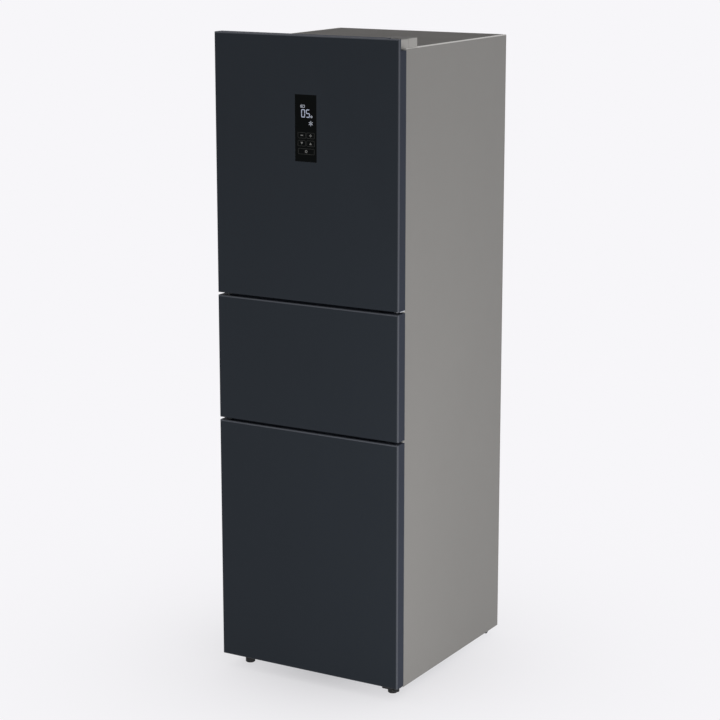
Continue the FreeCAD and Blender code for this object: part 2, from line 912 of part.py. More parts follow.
coil_side = size_of("coil_half_width")
coil_points = [
    marker("coil_port", ("compressor_x - compressor_radius", compressor_y, coil_port_z)),
    marker("coil_turn", (coil_tail_x, compressor_y, coil_port_z)),
    marker("coil_cross", (coil_tail_x, compressor_y, coil_cross_z)),
    marker("coil_back", (coil_tail_x, coil_y, coil_cross_z)),
]
coil_start = marker("coil_start", (coil_tail_x, coil_y, coil_low))
for run in range(COIL_RUNS):
    level = coil_start + FreeCAD.Vector(0, 0, run * size_of("coil_pitch"))
    across_to = FreeCAD.Vector(2 * coil_side, 0, 0)
    ends = [level, level + across_to]
    coil_points += ends if run % 2 == 0 else ends[::-1]
node(
    "condenser_coil",
    bent_tube("condenser_tube", coil_points, size_of("coil_bend"), size_of("coil_radius")),
)

# Machine bay: plate with roller ears, compressor on rubber mounts, drip tray, rear cover and inlet
plate_top = "(base_height + plate_thickness)"
roller_x = f"({HALF} - roller_inset)"
roller_y = f"({BACK} - roller_setback)"
ear_out = "(roller_width / 2 + ear_play)"
plate_solids = [
    block(
        "bay_plate",
        pan_x,
        (BAY_FRONT, f"{BACK} - sheet - plate_margin"),
        span("base_height", "plate_thickness"),
    )
]
plate_holes = []
for name, side in (("left", "-"), ("right", "")):
    middle = f"{side}{roller_x}"
    for place, low in (
        ("inner", f"{middle} - {ear_out} - ear_thickness"),
        ("outer", f"{middle} + {ear_out}"),
    ):
        limits = span(low, "ear_thickness")
        plate_solids.append(
            block(
                f"ear_{name}_{place}",
                limits,
                about(roller_y, "2 * ear_radius"),
                ("roller_radius", "base_height + plate_thickness / 2"),
            )
        )
        plate_solids.append(
            rod(f"ear_end_{name}_{place}", "x", (roller_y, "roller_radius"), "ear_radius", limits)
        )
    plate_holes.append(
        rod(
            f"axle_hole_{name}",
            "x",
            (roller_y, "roller_radius"),
            "axle_radius + pin_play",
            about(middle, f"2 * {ear_out} + 4 * ear_thickness"),
        )
    )
node(
    "compressor_plate",
    carved("bay_plate_drilled", merged("bay_plate_eared", *plate_solids), *plate_holes),
)
for name, side in (("left", "-"), ("right", "")):
    middle = f"{side}{roller_x}"
    wheel = rod(
        f"wheel_{name}", "x", (roller_y, "roller_radius"), "roller_radius", about(middle, "roller_width")
    )
    axle = rod(
        f"axle_{name}",
        "x",
        (roller_y, "roller_radius"),
        "axle_radius",
        about(middle, f"2 * {ear_out} + 3 * ear_thickness"),
    )
    node(f"rear_roller_{name}", merged(f"roller_{name}", wheel, axle))

shell = turned(
    "compressor_shell",
    [
        ("0", "0"),
        ("compressor_radius * 0.7", "0"),
        ("compressor_radius * 0.92", "compressor_height * 0.08"),
        ("compressor_radius", "compressor_height * 0.28"),
        ("compressor_radius", "compressor_height * 0.72"),
        ("compressor_radius * 0.88", "compressor_height * 0.9"),
        ("compressor_radius * 0.55", "compressor_height"),
        ("0", "compressor_height"),
    ],
    ("compressor_x", compressor_y, compressor_z),
)
foot_plate = block(
    "compressor_foot_plate",
    about("compressor_x", "foot_plate_length"),
    about(compressor_y, "foot_plate_width"),
    span(compressor_z, "foot_plate_thickness"),
)
node("compressor", merged("compressor_welded", shell, foot_plate))
mounts = [
    rod(
        f"mount_{index}",
        "z",
        (
            f"compressor_x {along} (foot_plate_length / 2 - mount_inset)",
            f"{compressor_y} {deep} (foot_plate_width / 2 - mount_inset)",
        ),
        "mount_radius",
        (plate_top, compressor_z),
    )
    for index, (along, deep) in enumerate((("-", "-"), ("-", "+"), ("+", "-"), ("+", "+")))
]
node("compressor_mounts", together("mounts", *mounts))
tray, tray_room = open_box(
    "drip",
    about("compressor_x", "tray_width"),
    about(compressor_y, "tray_width"),
    span(f"{compressor_z} + compressor_height", "tray_height"),
    "tray_wall",
    "tray_wall",
)
node("drip_tray", carved("drip_pan", tray, tray_room))

inlet_left = f"({HALF} - back_margin - inlet_plate)"
inlet_middle = f"({inlet_left} + inlet_plate / 2)"
inlet_z = "(base_height + inlet_level)"
cover_x = (f"-({HALF} - back_margin)", inlet_left)
cover_y = (f"{BACK} - sheet - plate_thickness", f"{BACK} - sheet")
bay_z = ("base_height", BAY_TOP)
SLOT_COLUMNS = 6
SLOT_ROWS = 5
bay_slots = [
    block(
        f"bay_slot_{column}_{line}",
        about(f"(({column} - {SLOT_COLUMNS / 2}) * slot_pitch_x)", "slot_length"),
        cover_y,
        about(f"(base_height + bay_height / 2 + ({line} - {SLOT_ROWS // 2}) * slot_pitch_z)", "slot_height"),
    )
    for column in range(SLOT_COLUMNS)
    for line in range(SLOT_ROWS)
]
node("machine_cover", carved("bay_louvred", block("bay_sheet", cover_x, cover_y, bay_z), *bay_slots))
inlet_body = merged(
    "inlet_moulded",
    block("inlet_sheet", span(inlet_left, "inlet_plate"), cover_y, bay_z),
    block(
        "inlet_body",
        about(inlet_middle, "inlet_width"),
        (f"{BACK} - sheet - inlet_depth", f"{BACK} - sheet"),
        about(inlet_z, "inlet_height"),
    ),
)
inlet_bore = rod(
    "inlet_bore_hole",
    "y",
    (inlet_middle, inlet_z),
    "inlet_bore",
    (f"{BACK} - sheet - inlet_depth / 2", f"{BACK} - sheet"),
)
node("power_inlet", carved("inlet_drilled", inlet_body, inlet_bore))

# Levelling feet and the plates that they screw into
for name, side in (("left", "-"), ("right", "")):
    foot_top = f"({BRACKET_LOW} - foot_play)"
    node(
        f"front_foot_{name}",
        turned(
            f"foot_{name}",
            [
                ("0", "0"),
                ("foot_radius - 1", "0"),
                ("foot_radius", "1"),
                ("foot_radius", f"{foot_top} - 1"),
                ("foot_radius - 1", foot_top),
                ("stud_radius", foot_top),
                ("stud_radius", "base_height + stud_reach"),
                ("0", "base_height + stud_reach"),
            ],
            (f"{side}{FOOT_X}", FOOT_Y, "0"),
        ),
    )
bracket_z = (BRACKET_LOW, "base_height")
bracket_y = (PIN_Y, f"{FACE} + bracket_back")
thread = "stud_radius + pin_play"
left_plate = block(
    "left_plate",
    (f"-{PIN_X}", f"-{HALF} + bracket_length"),
    (FACE, f"{FACE} + bracket_back"),
    bracket_z,
)
node(
    "foot_bracket",
    carved("left_plate_drilled", left_plate, stud_bore("left_thread", "-", thread, bracket_z)),
)
hinge_plate = merged(
    "bottom_hinge_plate",
    block("bottom_plate", (f"{HALF} - bracket_length", PIN_X), bracket_y, bracket_z),
    rod("bottom_nose", "z", (PIN_X, PIN_Y), "bracket_nose", bracket_z),
    rod(
        "bottom_shoulder",
        "z",
        (PIN_X, PIN_Y),
        "shoulder_radius",
        ("base_height", "door_bottom - shoulder_play"),
    ),
    rod("bottom_pin", "z", (PIN_X, PIN_Y), "pin_radius", ("base_height", "door_bottom + pin_depth")),
)
node(
    "bottom_hinge",
    carved("bottom_hinge_drilled", hinge_plate, stud_bore("right_thread", "", thread, bracket_z)),
)

# Middle hinges: one bracket in each door gap, with a pin up and a pin down
screws = []


def screw(name, axis, centre, seat, head_out, length):
    """A pan-head screw whose shank fills its plate's hole."""
    head = span(seat, "screw_head_height") if head_out == "+" else (f"{seat} - screw_head_height", seat)
    shank = (f"{seat} - {length}", seat) if head_out == "+" else (seat, f"{seat} + {length}")
    screws.append(
        merged(
            name,
            rod(f"{name}_head", axis, centre, "screw_head", head),
            rod(f"{name}_shank", axis, centre, "screw_radius", shank),
        )
    )
    return rod(f"{name}_hole", axis, centre, "screw_radius", shank)


middle_hinges = []
for name, gap in (("lower", LOWER_GAP), ("upper", UPPER_GAP)):
    holes = [
        screw(
            f"{name}_gap_screw_{index}",
            "y",
            (f"{PIN_X} - ({place})", gap),
            f"{FACE} - flange_thickness",
            "-",
            "flange_thickness",
        )
        for index, place in enumerate(("arm_length - 1.5 * screw_head", "arm_length / 2 + 1.5 * screw_head"))
    ]
    bracket = merged(
        f"{name}_gap_bracket",
        block(
            f"{name}_gap_arm",
            (f"{PIN_X} - arm_length / 2", HALF),
            (PIN_Y, FACE),
            about(gap, "arm_thickness"),
        ),
        rod(f"{name}_gap_nose", "z", (PIN_X, PIN_Y), f"{HALF} - {PIN_X}", about(gap, "arm_thickness")),
        block(
            f"{name}_gap_flange",
            (f"{PIN_X} - arm_length", f"{PIN_X} - flange_end"),
            (f"{FACE} - flange_thickness", FACE),
            about(gap, "(door_gap + 2 * seal_edge - 2 * flange_play)"),
        ),
        rod(
            f"{name}_gap_pin",
            "z",
            (PIN_X, PIN_Y),
            "pin_radius",
            about(gap, "door_gap + 2 * pin_depth"),
        ),
    )
    middle_hinges.append(carved(f"{name}_gap_drilled", bracket, *holes))
node("middle_hinges", together("gap_brackets", *middle_hinges))

# Top hinge: a plate on the roof with an arm and a pin down into the upper door, under a hollow cover
COVER_LEFT = f"({HALF} - cover_length)"
COVER_FRONT = f"({FACE} + cover_setback)"
plate_left = f"({COVER_LEFT} + cover_wall + pin_room)"
plate_right = f"({HALF} - nose_inset - cover_wall - pin_room / 2)"
plate_front = f"({COVER_FRONT} + cover_wall + pin_room)"
plate_z = span(ROOF, "hinge_thickness")
top_plate = merged(
    "top_hinge_plate",
    block("top_base", (plate_left, plate_right), (plate_front, f"{FACE} + hinge_back"), plate_z),
    block(
        "top_arm",
        (f"{PIN_X} - top_arm_reach", plate_right),
        (f"{PIN_Y} - top_arm_land", plate_front),
        plate_z,
    ),
    rod(
        "top_pin",
        "z",
        (PIN_X, PIN_Y),
        "pin_radius",
        (f"{NOTCH_FLOOR} - pin_depth", f"{ROOF} + hinge_thickness"),
    ),
)
top_holes = [
    screw(
        f"top_screw_{index}",
        "z",
        (f"{plate_left} + {heads} * screw_head", f"({plate_front} + {FACE} + hinge_back) / 2"),
        f"{ROOF} + hinge_thickness",
        "+",
        "hinge_thickness",
    )
    for index, heads in enumerate((2, 7))
]
node("top_hinge", carved("top_hinge_drilled", top_plate, *top_holes))


def cover_solids(name, inset, top):
    """The hinge cover's body and its lower nose over the pin, drawn in by an inset."""
    return merged(
        f"cover_{name}",
        block(
            f"cover_{name}_body",
            (f"{COVER_LEFT} + {inset}", f"{HALF} - {inset}"),
            (f"{COVER_FRONT} + {inset}", f"{FACE} + cover_back - {inset}"),
            (ROOF, top),
        ),
        block(
            f"cover_{name}_nose",
            (f"{PIN_X} - nose_reach + {inset}", f"{HALF} - nose_inset - {inset}"),
            (f"{PIN_Y} - nose_front + {inset}", f"{COVER_FRONT} + {inset}"),
            (ROOF, f"{top} - nose_drop"),
        ),
    )


cover_outside = cover_solids("outside", "0", f"{ROOF} + cover_height")
cover_inside = cover_solids("inside", "cover_wall", f"{ROOF} + cover_height - cover_wall")
node("hinge_cover", carved("cover_shell", cover_outside, cover_inside))
node("hinge_screws", together("all_screws", *screws))

# Freezer air: finned evaporator, its cover, and a fan that blows through it
evaporator_y = (f"{CAVITY_BACK} - evaporator_depth", CAVITY_BACK)
evaporator_low = f"({STEP_TOP} + evaporator_level)"
FINS = 13
TUBE_ROWS = 5
fin_solids = [
    block(
        f"fin_{index}",
        about(f"(({index} - {FINS - 1} / 2) * 2 * evaporator_half_width / {FINS - 1})", "fin_thickness"),
        evaporator_y,
        span(evaporator_low, "evaporator_height"),
    )
    for index in range(FINS)
]
tube_solids = [
    rod(
        f"tube_{row}",
        "x",
        (
            f"{CAVITY_BACK} - evaporator_depth / 2",
            f"{evaporator_low} + evaporator_height * ({row} + 0.5) / {TUBE_ROWS}",
        ),
        "tube_radius",
        across("evaporator_half_width + 4 * tube_radius"),
    )
    for row in range(TUBE_ROWS)
]
node("evaporator", merged("finned_coil", *fin_solids, *tube_solids))

fan_z = f"({FREEZER[1]} - fan_drop)"
cover_sheet_y = span(EVAPORATOR_FRONT, "cover_plate")
vents = [
    block(
        f"vent_{name}_{index}",
        about(f"(({index} - 1) * 1.5 * vent_length)", "vent_length"),
        cover_sheet_y,
        span(level, "vent_height"),
    )
    for name, level in (
        ("low", f"{STEP_TOP} + freezer_drawer_gap / 2"),
        ("mid", f"{FREEZER_LEVELS['upper']} - ledge_height - freezer_drawer_gap / 2"),
    )
    for index in range(3)
]
fan_opening = rod("fan_opening", "y", ("0", fan_z), "fan_hole", cover_sheet_y)
node(
    "evaporator_cover",
    carved(
        "cold_wall",
        block("cold_sheet", across(INNER), cover_sheet_y, (STEP_TOP, FREEZER[1])),
        fan_opening,
        *vents,
    ),
)
fan_front = f"({EVAPORATOR_FRONT} + cover_plate)"
fan_back = f"({fan_front} + fan_depth)"
motor_front = f"({fan_back} + fan_gap)"
node(
    "fan_motor",
    merged(
        "motor_assembled",
        rod("motor_can", "y", ("0", fan_z), "fan_motor_radius", (motor_front, CAVITY_BACK)),
        rod("motor_shaft", "y", ("0", fan_z), "fan_shaft", (f"{fan_front} + fan_depth / 2", motor_front)),
    ),
)
BLADES = 5
hub = rod("fan_hub_solid", "y", ("0", fan_z), "fan_hub", (fan_front, fan_back))
blades = []
for index in range(BLADES):
    blade = doc.addObject("Part::Box", f"blade_{index}")
    angle = 360 / BLADES * (index + 0.25)
    pitch = FreeCAD.Rotation(FreeCAD.Vector(1, 0, 0), 32)
    turn = FreeCAD.Rotation(FreeCAD.Vector(0, 1, 0), angle)
    blade.Placement = FreeCAD.Placement(FreeCAD.Vector(), turn.multiply(pitch))
    bind(blade, "Length", "fan_radius - fan_hub / 2")
    bind(blade, "Width", "fan_depth / 2")
    bind(blade, "Height", "blade_thickness")
    bind(blade, "Placement.Base.x", f"fan_hub / 2 * cos({angle} deg)")
    bind(blade, "Placement.Base.y", f"{fan_front} + fan_depth / 4")
    bind(blade, "Placement.Base.z", f"{fan_z} - fan_hub / 2 * sin({angle} deg)")
    blades.append(blade)
shaft_bore = rod(
    "fan_bore", "y", ("0", fan_z), "fan_shaft + pin_play", (f"{fan_front} + fan_depth / 2 - 1", fan_back)
)
node("fan_rotor", carved("fan_bored", merged("fan_bladed", hub, *blades), shaft_bore))

# Fridge air duct and lamp
duct_z = (f"{SHELVES[0]} + duct_margin", f"{FRIDGE[1]} - duct_margin")
duct = block("duct_body", across("duct_width / 2"), (DUCT_FRONT, CAVITY_BACK), duct_z)
duct_slots = [
    block(
        f"duct_slot_{index}",
        across("duct_width / 3"),
        span(DUCT_FRONT, "duct_depth / 2"),
        about(f"({SHELVES[index]} + {SHELF_PITCH} * 0.65)", "vent_height"),
    )
    for index in range(3)
]
node("air_duct", carved("duct_slotted", duct, *duct_slots))
node(
    "lamp_cover",
    block(
        "lamp_lens",
        across("lamp_width / 2"),
        span(f"{FACE} + lamp_setback", "lamp_depth"),
        (f"{FRIDGE[1]} - lamp_height", FRIDGE[1]),
    ),
)

# Shelves, trims and drawers
shelf_x = across(f"{INNER} - shelf_play")
plates = []
trims = []
for index, level in enumerate(SHELVES):
    plates.append(
        block(
            f"shelf_{index}",
            shelf_x,
            (f"{SHELF_FRONT} + trim_depth", f"{DUCT_FRONT} - shelf_play"),
            span(level, "shelf_thickness"),
        )
    )
    trims.append(
        block(
            f"trim_{index}",
            shelf_x,
            span(SHELF_FRONT, "trim_depth"),
            span(level, "trim_height"),
        )
    )
node("glass_shelves", together("shelf_plates", *plates))
node("shelf_trims", together("shelf_fronts", *trims))


def make_drawer(name, y, z):
    """A drawer with a thick front that has a hand notch at its top."""
    tray, room = open_box(
        name, across(f"{INNER} - drawer_play"), y, z, "drawer_wall", "drawer_front"
    )
    notch = block(
        f"{name}_hand_notch",
        across("drawer_grip_width / 2"),
        (f"{y[0]} - 1", f"{y[0]} + drawer_front + 1"),
        (f"{z[1]} - drawer_grip_depth", f"{z[1]} + 1"),
    )
    return carved(f"{name}_drawer_box", tray, room, notch)


node(
    "crisper_drawer",
    make_drawer(
        "crisper",
        (SHELF_FRONT, f"{CAVITY_BACK} - drawer_back_room"),
        span(f"{FRIDGE[0]} + drawer_clearance", "crisper_height"),
    ),
)
node(
    "middle_drawer",
    make_drawer(
        "chill",
        (drawer_front_y, f"{CAVITY_BACK} - drawer_back_room"),
        span(f"{MIDDLE[0]} + drawer_clearance", MIDDLE_DRAWER),
    ),
)
for level, back, height in (
    ("lower", f"{STEP_FRONT} - drawer_back_room", LOWER_DRAWER),
    ("middle", f"{EVAPORATOR_FRONT} - drawer_back_room", UPPER_DRAWER),
    ("upper", f"{EVAPORATOR_FRONT} - drawer_back_room", UPPER_DRAWER),
):
    node(
        f"freezer_drawer_{level}",
        make_drawer(
            f"frozen_{level}",
            (drawer_front_y, back),
            span(f"{FREEZER_LEVELS[level]} + drawer_clearance", height),
        ),
    )

# Check every object, then write each node's solids
doc.recompute()
for thing in doc.Objects:
    if "Invalid" in thing.State or "Error" in thing.State:
        raise RuntimeError(f"{thing.Name} is {thing.State}")
os.makedirs("parts", exist_ok=True)
for label, thing in nodes:
    shape = thing.Shape
    if shape.isNull() or not shape.isValid() or not shape.Solids:
        raise RuntimeError(f"{label} has no valid solid")
    print(f"{label}: {len(shape.Solids)} solids, {shape.Volume / 1000:.1f} cm3")
    shape.exportStep(f"parts/{label}.step")
print(f"{len(nodes)} nodes")
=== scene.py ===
"""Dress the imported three-door refrigerator: finishes, small visual pieces, studio and camera.

Units are metres in the part's own frame: X to the right, Y to the back, Z up, floor centre at the origin.
"""

import logging
import math
from collections.abc import Iterable, Sequence
from dataclasses import dataclass, field
from enum import Enum

import bmesh
import bpy
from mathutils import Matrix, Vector


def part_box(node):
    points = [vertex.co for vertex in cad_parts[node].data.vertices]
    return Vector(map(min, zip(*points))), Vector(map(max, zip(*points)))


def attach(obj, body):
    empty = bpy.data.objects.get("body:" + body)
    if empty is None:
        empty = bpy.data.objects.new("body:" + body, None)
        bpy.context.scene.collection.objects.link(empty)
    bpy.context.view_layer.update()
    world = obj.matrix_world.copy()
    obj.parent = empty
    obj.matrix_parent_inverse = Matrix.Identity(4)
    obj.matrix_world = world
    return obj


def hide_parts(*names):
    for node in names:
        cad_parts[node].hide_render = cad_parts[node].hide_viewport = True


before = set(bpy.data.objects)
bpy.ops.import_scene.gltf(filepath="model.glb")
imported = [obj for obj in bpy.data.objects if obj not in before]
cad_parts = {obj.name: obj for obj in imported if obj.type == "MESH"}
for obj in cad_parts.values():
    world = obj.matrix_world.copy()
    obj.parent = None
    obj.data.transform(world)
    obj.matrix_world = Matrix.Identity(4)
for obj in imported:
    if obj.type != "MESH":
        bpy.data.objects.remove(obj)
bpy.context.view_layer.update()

LOG = logging.getLogger("refrigerator")
MM = 0.001

JOINED_CORNERS = 0.01 * MM
EDGE_SEGMENTS = 3
EDGE_ANGLE = math.radians(40)
CORNER_STEPS = 4
TONE_PATCHES = (5.0, 5.0, 3.0)
BUMP_STRENGTH = 0.5

Colour = tuple[float, float, float]
Triple = tuple[float, float, float]
Point = tuple[float, float]


def srgb(red: int, green: int, blue: int) -> Colour:
    """Turn a display colour into the linear values that shaders use.

    Args:
        red: Red from 0 to 255.
        green: Green from 0 to 255.
        blue: Blue from 0 to 255.

    Returns:
        The three linear channels.
    """

    def linear(value: int) -> float:
        """Undo the display curve for one channel."""
        share = value / 255
        return share / 12.92 if share <= 0.04045 else ((share + 0.055) / 1.055) ** 2.4

    return linear(red), linear(green), linear(blue)


class ShaderTree:
    """Short calls to add and join the nodes of one shader tree."""

    MIX_BASE = 6
    MIX_OTHER = 7
    MIX_RESULT = 2

    def __init__(self, tree: bpy.types.NodeTree) -> None:
        """Keep the tree that nodes are added to."""
        self.tree = tree

    def add(self, kind: str, **settings: object) -> bpy.types.Node:
        """Add a node.

        Args:
            kind: The node's type name.
            settings: Properties to set on the node.

        Returns:
            The new node.
        """
        made = self.tree.nodes.new(kind)
        for name, value in settings.items():
            setattr(made, name, value)
        return made

    def join(self, source: bpy.types.NodeSocket, target: bpy.types.NodeSocket) -> None:
        """Link an output to an input."""
        self.tree.links.new(source, target)

    def feed(self, target: bpy.types.NodeSocket, value: object) -> None:
        """Link a socket to an input, or set the input to a plain value."""
        if isinstance(value, bpy.types.NodeSocket):
            self.join(value, target)
        else:
            target.default_value = value

    def maths(self, operation: str, first: object, second: object = 0.0) -> bpy.types.NodeSocket:
        """Combine two values.

        Args:
            operation: The Math node's operation.
            first: A socket or a number.
            second: A socket or a number.

        Returns:
            The result's socket.
        """
        made = self.add("ShaderNodeMath", operation=operation)
        self.feed(made.inputs[0], first)
        self.feed(made.inputs[1], second)
        return made.outputs[0]

    def noise(self, place: bpy.types.NodeSocket, detail: float) -> bpy.types.NodeSocket:
        """Noise of unit size at a place.

        Args:
            place: The coordinates, already scaled.
            detail: How many octaves the noise has.

        Returns:
            The noise value's socket, about 0.5 on average.
        """
        made = self.add("ShaderNodeTexNoise")
        made.inputs["Scale"].default_value = 1.0
        made.inputs["Detail"].default_value = detail
        self.join(place, made.inputs["Vector"])
        return made.outputs[0]

    def blend(self, share: object, base: object, other: object) -> bpy.types.NodeSocket:
        """Mix two colours.

        Args:
            share: The other colour's share.
            base: The colour at a share of nought.
            other: The colour at a share of one.

        Returns:
            The mixed colour's socket.
        """
        made = self.add("ShaderNodeMix", data_type="RGBA")
        self.feed(made.inputs["Factor"], share)
        self.feed(made.inputs[self.MIX_BASE], base)
        self.feed(made.inputs[self.MIX_OTHER], other)
        return made.outputs[self.MIX_RESULT]

    def scaled_place(self, size: bpy.types.NodeSocket) -> bpy.types.NodeSocket:
        """Object coordinates times a size per metre along each axis."""
        place = self.add("ShaderNodeTexCoord")
        scaled = self.add("ShaderNodeVectorMath", operation="MULTIPLY")
        self.join(place.outputs["Object"], scaled.inputs[0])
        self.join(size, scaled.inputs[1])
        return scaled.outputs[0]


def emptied(owner: bpy.types.Material | bpy.types.World) -> ShaderTree:
    """Clear the nodes of a material or world, and give its tree."""
    owner.use_nodes = True
    owner.node_tree.nodes.clear()
    return ShaderTree(owner.node_tree)


class EffectGroup:
    """A surface effect that several finishes share, kept as one shader node group."""

    name: str = ""
    inputs: dict[str, str] = {}
    outputs: dict[str, str] = {}

    def tree(self) -> bpy.types.NodeTree:
        """The group's tree, built the first time that it is asked for."""
        found = bpy.data.node_groups.get(self.name)
        if found:
            return found
        made = bpy.data.node_groups.new(self.name, "ShaderNodeTree")
        for label, kind in self.inputs.items():
            made.interface.new_socket(label, in_out="INPUT", socket_type=kind)
        for label, kind in self.outputs.items():
            made.interface.new_socket(label, in_out="OUTPUT", socket_type=kind)
        shader = ShaderTree(made)
        self.wire(shader, shader.add("NodeGroupInput"), shader.add("NodeGroupOutput"))
        return made

    def wire(self, shader: ShaderTree, given: bpy.types.Node, result: bpy.types.Node) -> None:
        """Join the group's inputs to its outputs.

        Args:
            shader: The group's tree.
            given: The node that holds the inputs.
            result: The node that takes the outputs.
        """
        raise NotImplementedError

    def place(self, shader: ShaderTree, **values: object) -> bpy.types.Node:
        """Put the group in a material with its own values.

        Args:
            shader: The material's tree.
            values: Sockets or plain values, by input name in lower case.

        Returns:
            The placed group node.
        """
        made = shader.add("ShaderNodeGroup", node_tree=self.tree())
        for label in self.inputs:
            if label.lower() in values:
                shader.feed(made.inputs[label], values[label.lower()])
        return made


class ToneDrift(EffectGroup):
    """Slow changes of tone, as uneven paint, moulding or handling leaves."""

    name = "tone_drift"
    inputs = {"Colour": "NodeSocketColor", "Drift": "NodeSocketFloat", "Size": "NodeSocketVector"}
    outputs = {"Colour": "NodeSocketColor"}
    octaves: float = 3.0
    middle: float = 0.5
    gain: float = 4.0

    def wire(self, shader: ShaderTree, given: bpy.types.Node, result: bpy.types.Node) -> None:
        """Scale the colour's value by slow noise."""
        noise = shader.noise(shader.scaled_place(given.outputs["Size"]), self.octaves)
        swing = shader.maths("MULTIPLY", shader.maths("SUBTRACT", noise, self.middle), self.gain)
        value = shader.maths("ADD", shader.maths("MULTIPLY", swing, given.outputs["Drift"]), 1.0)
        tint = shader.add("ShaderNodeHueSaturation")
        shader.join(value, tint.inputs["Value"])
        shader.join(given.outputs["Colour"], tint.inputs["Color"])
        shader.join(tint.outputs["Color"], result.inputs["Colour"])


class SurfaceGrain(EffectGroup):
    """Fine relief and the uneven gloss that goes with it."""

    name = "surface_grain"
    inputs = {"Roughness": "NodeSocketFloat", "Spread": "NodeSocketFloat", "Size": "NodeSocketVector"}
    outputs = {"Roughness": "NodeSocketFloat", "Height": "NodeSocketFloat"}
    octaves: float = 2.0
    broad_share: float = 0.06

    def wire(self, shader: ShaderTree, given: bpy.types.Node, result: bpy.types.Node) -> None:
        """Fine noise gives the relief, and with coarser noise the gloss."""
        place = shader.scaled_place(given.outputs["Size"])
        fine = shader.noise(place, self.octaves)
        wide = shader.add("ShaderNodeVectorMath", operation="SCALE")
        wide.inputs["Scale"].default_value = self.broad_share
        shader.join(place, wide.inputs[0])
        broad = shader.noise(wide.outputs[0], self.octaves)
        both = shader.maths("SUBTRACT", shader.maths("ADD", fine, broad), 1.0)
        swing = shader.maths("MULTIPLY", both, given.outputs["Spread"])
        total = shader.add("ShaderNodeMath", operation="ADD", use_clamp=True)
        shader.join(swing, total.inputs[0])
        shader.join(given.outputs["Roughness"], total.inputs[1])
        shader.join(total.outputs[0], result.inputs["Roughness"])
        shader.join(fine, result.inputs["Height"])


class DustAndTopShade(EffectGroup):
    """A film on the faces that look up: real dust where its colour is lighter than the finish, painted
    shade where it is darker.
    """

    name = "dust_and_top_shade"
    inputs = {"Colour": "NodeSocketColor", "Dust": "NodeSocketColor", "Amount": "NodeSocketFloat"}
    outputs = {"Colour": "NodeSocketColor"}
    slope: float = 3.0
    offset: float = -2.0
    patches: float = 26.0
    octaves: float = 5.0

    def wire(self, shader: ShaderTree, given: bpy.types.Node, result: bpy.types.Node) -> None:
        """Mix the given colour in by how far a face looks up, broken up by noise: dust on most finishes,
        painted shade on the hinge cover.
        """
        facing = shader.add("ShaderNodeSeparateXYZ")
        shader.join(shader.add("ShaderNodeNewGeometry").outputs["Normal"], facing.inputs[0])
        up = shader.add("ShaderNodeMath", operation="MULTIPLY_ADD", use_clamp=True)
        shader.join(facing.outputs["Z"], up.inputs[0])
        up.inputs[1].default_value = self.slope
        up.inputs[2].default_value = self.offset
        size = shader.add("ShaderNodeCombineXYZ")
        for axis in range(3):
            size.inputs[axis].default_value = self.patches
        patchy = shader.noise(shader.scaled_place(size.outputs[0]), self.octaves)
        settled = shader.maths("MULTIPLY", up.outputs[0], patchy)
        cover = shader.maths("MULTIPLY", settled, given.outputs["Amount"])
        mixed = shader.blend(cover, given.outputs["Colour"], given.outputs["Dust"])
        shader.join(mixed, result.inputs["Colour"])


class PaintedEdgeHighlight(EffectGroup):
    """A painted highlight: a lighter tone where a sheet turns away from its flat face."""

    name = "painted_edge_highlight"
    inputs = {"Colour": "NodeSocketColor", "Edge": "NodeSocketColor", "Weights": "NodeSocketVector"}
    outputs = {"Colour": "NodeSocketColor"}
    starts: float = 0.25
    full: float = 0.7

    def wire(self, shader: ShaderTree, given: bpy.types.Node, result: bpy.types.Node) -> None:
        """Mix the painted highlight's colour in by how far the surface turns sideways, forwards and up, by
        weight.
        """
        facing = shader.add("ShaderNodeSeparateXYZ")
        shader.join(shader.add("ShaderNodeTexCoord").outputs["Normal"], facing.inputs[0])
        turns = shader.add("ShaderNodeCombineXYZ")
        shader.join(shader.maths("ABSOLUTE", facing.outputs["X"]), turns.inputs[0])
        forwards = shader.maths("MULTIPLY", facing.outputs["Y"], -1.0)
        shader.join(shader.maths("MAXIMUM", forwards, 0.0), turns.inputs[1])
        shader.join(shader.maths("MAXIMUM", facing.outputs["Z"], 0.0), turns.inputs[2])
        total = shader.add("ShaderNodeVectorMath", operation="DOT_PRODUCT")
        shader.join(turns.outputs[0], total.inputs[0])
        shader.join(given.outputs["Weights"], total.inputs[1])
        share = shader.add("ShaderNodeMapRange", interpolation_type="SMOOTHSTEP")
        share.inputs["From Min"].default_value = self.starts
        share.inputs["From Max"].default_value = self.full
        shader.join(total.outputs["Value"], share.inputs["Value"])
        mixed = shader.blend(share.outputs[0], given.outputs["Colour"], given.outputs["Edge"])
        shader.join(mixed, result.inputs["Colour"])


class Texture(Enum):
    """Fine relief of a surface: noise per metre along X, Y and Z, gloss spread and bump depth in metres."""

    PAINT_PEEL = ((420.0, 420.0, 420.0), 0.07, 0.00006)
    BRUSHED_UPRIGHT = ((1900.0, 1900.0, 14.0), 0.10, 0.00003)
    BRUSHED_ACROSS = ((14.0, 1500.0, 1500.0), 0.16, 0.00004)
    MOULDED = ((850.0, 850.0, 850.0), 0.09, 0.00005)
    POLISHED = ((60.0, 60.0, 60.0), 0.04, 0.000005)
    SPARK_ERODED = ((1500.0, 1500.0, 1500.0), 0.12, 0.0001)
    ROLLED_ZINC = ((160.0, 160.0, 160.0), 0.22, 0.00003)
    FOAM_CELLS = ((700.0, 700.0, 700.0), 0.10, 0.0006)


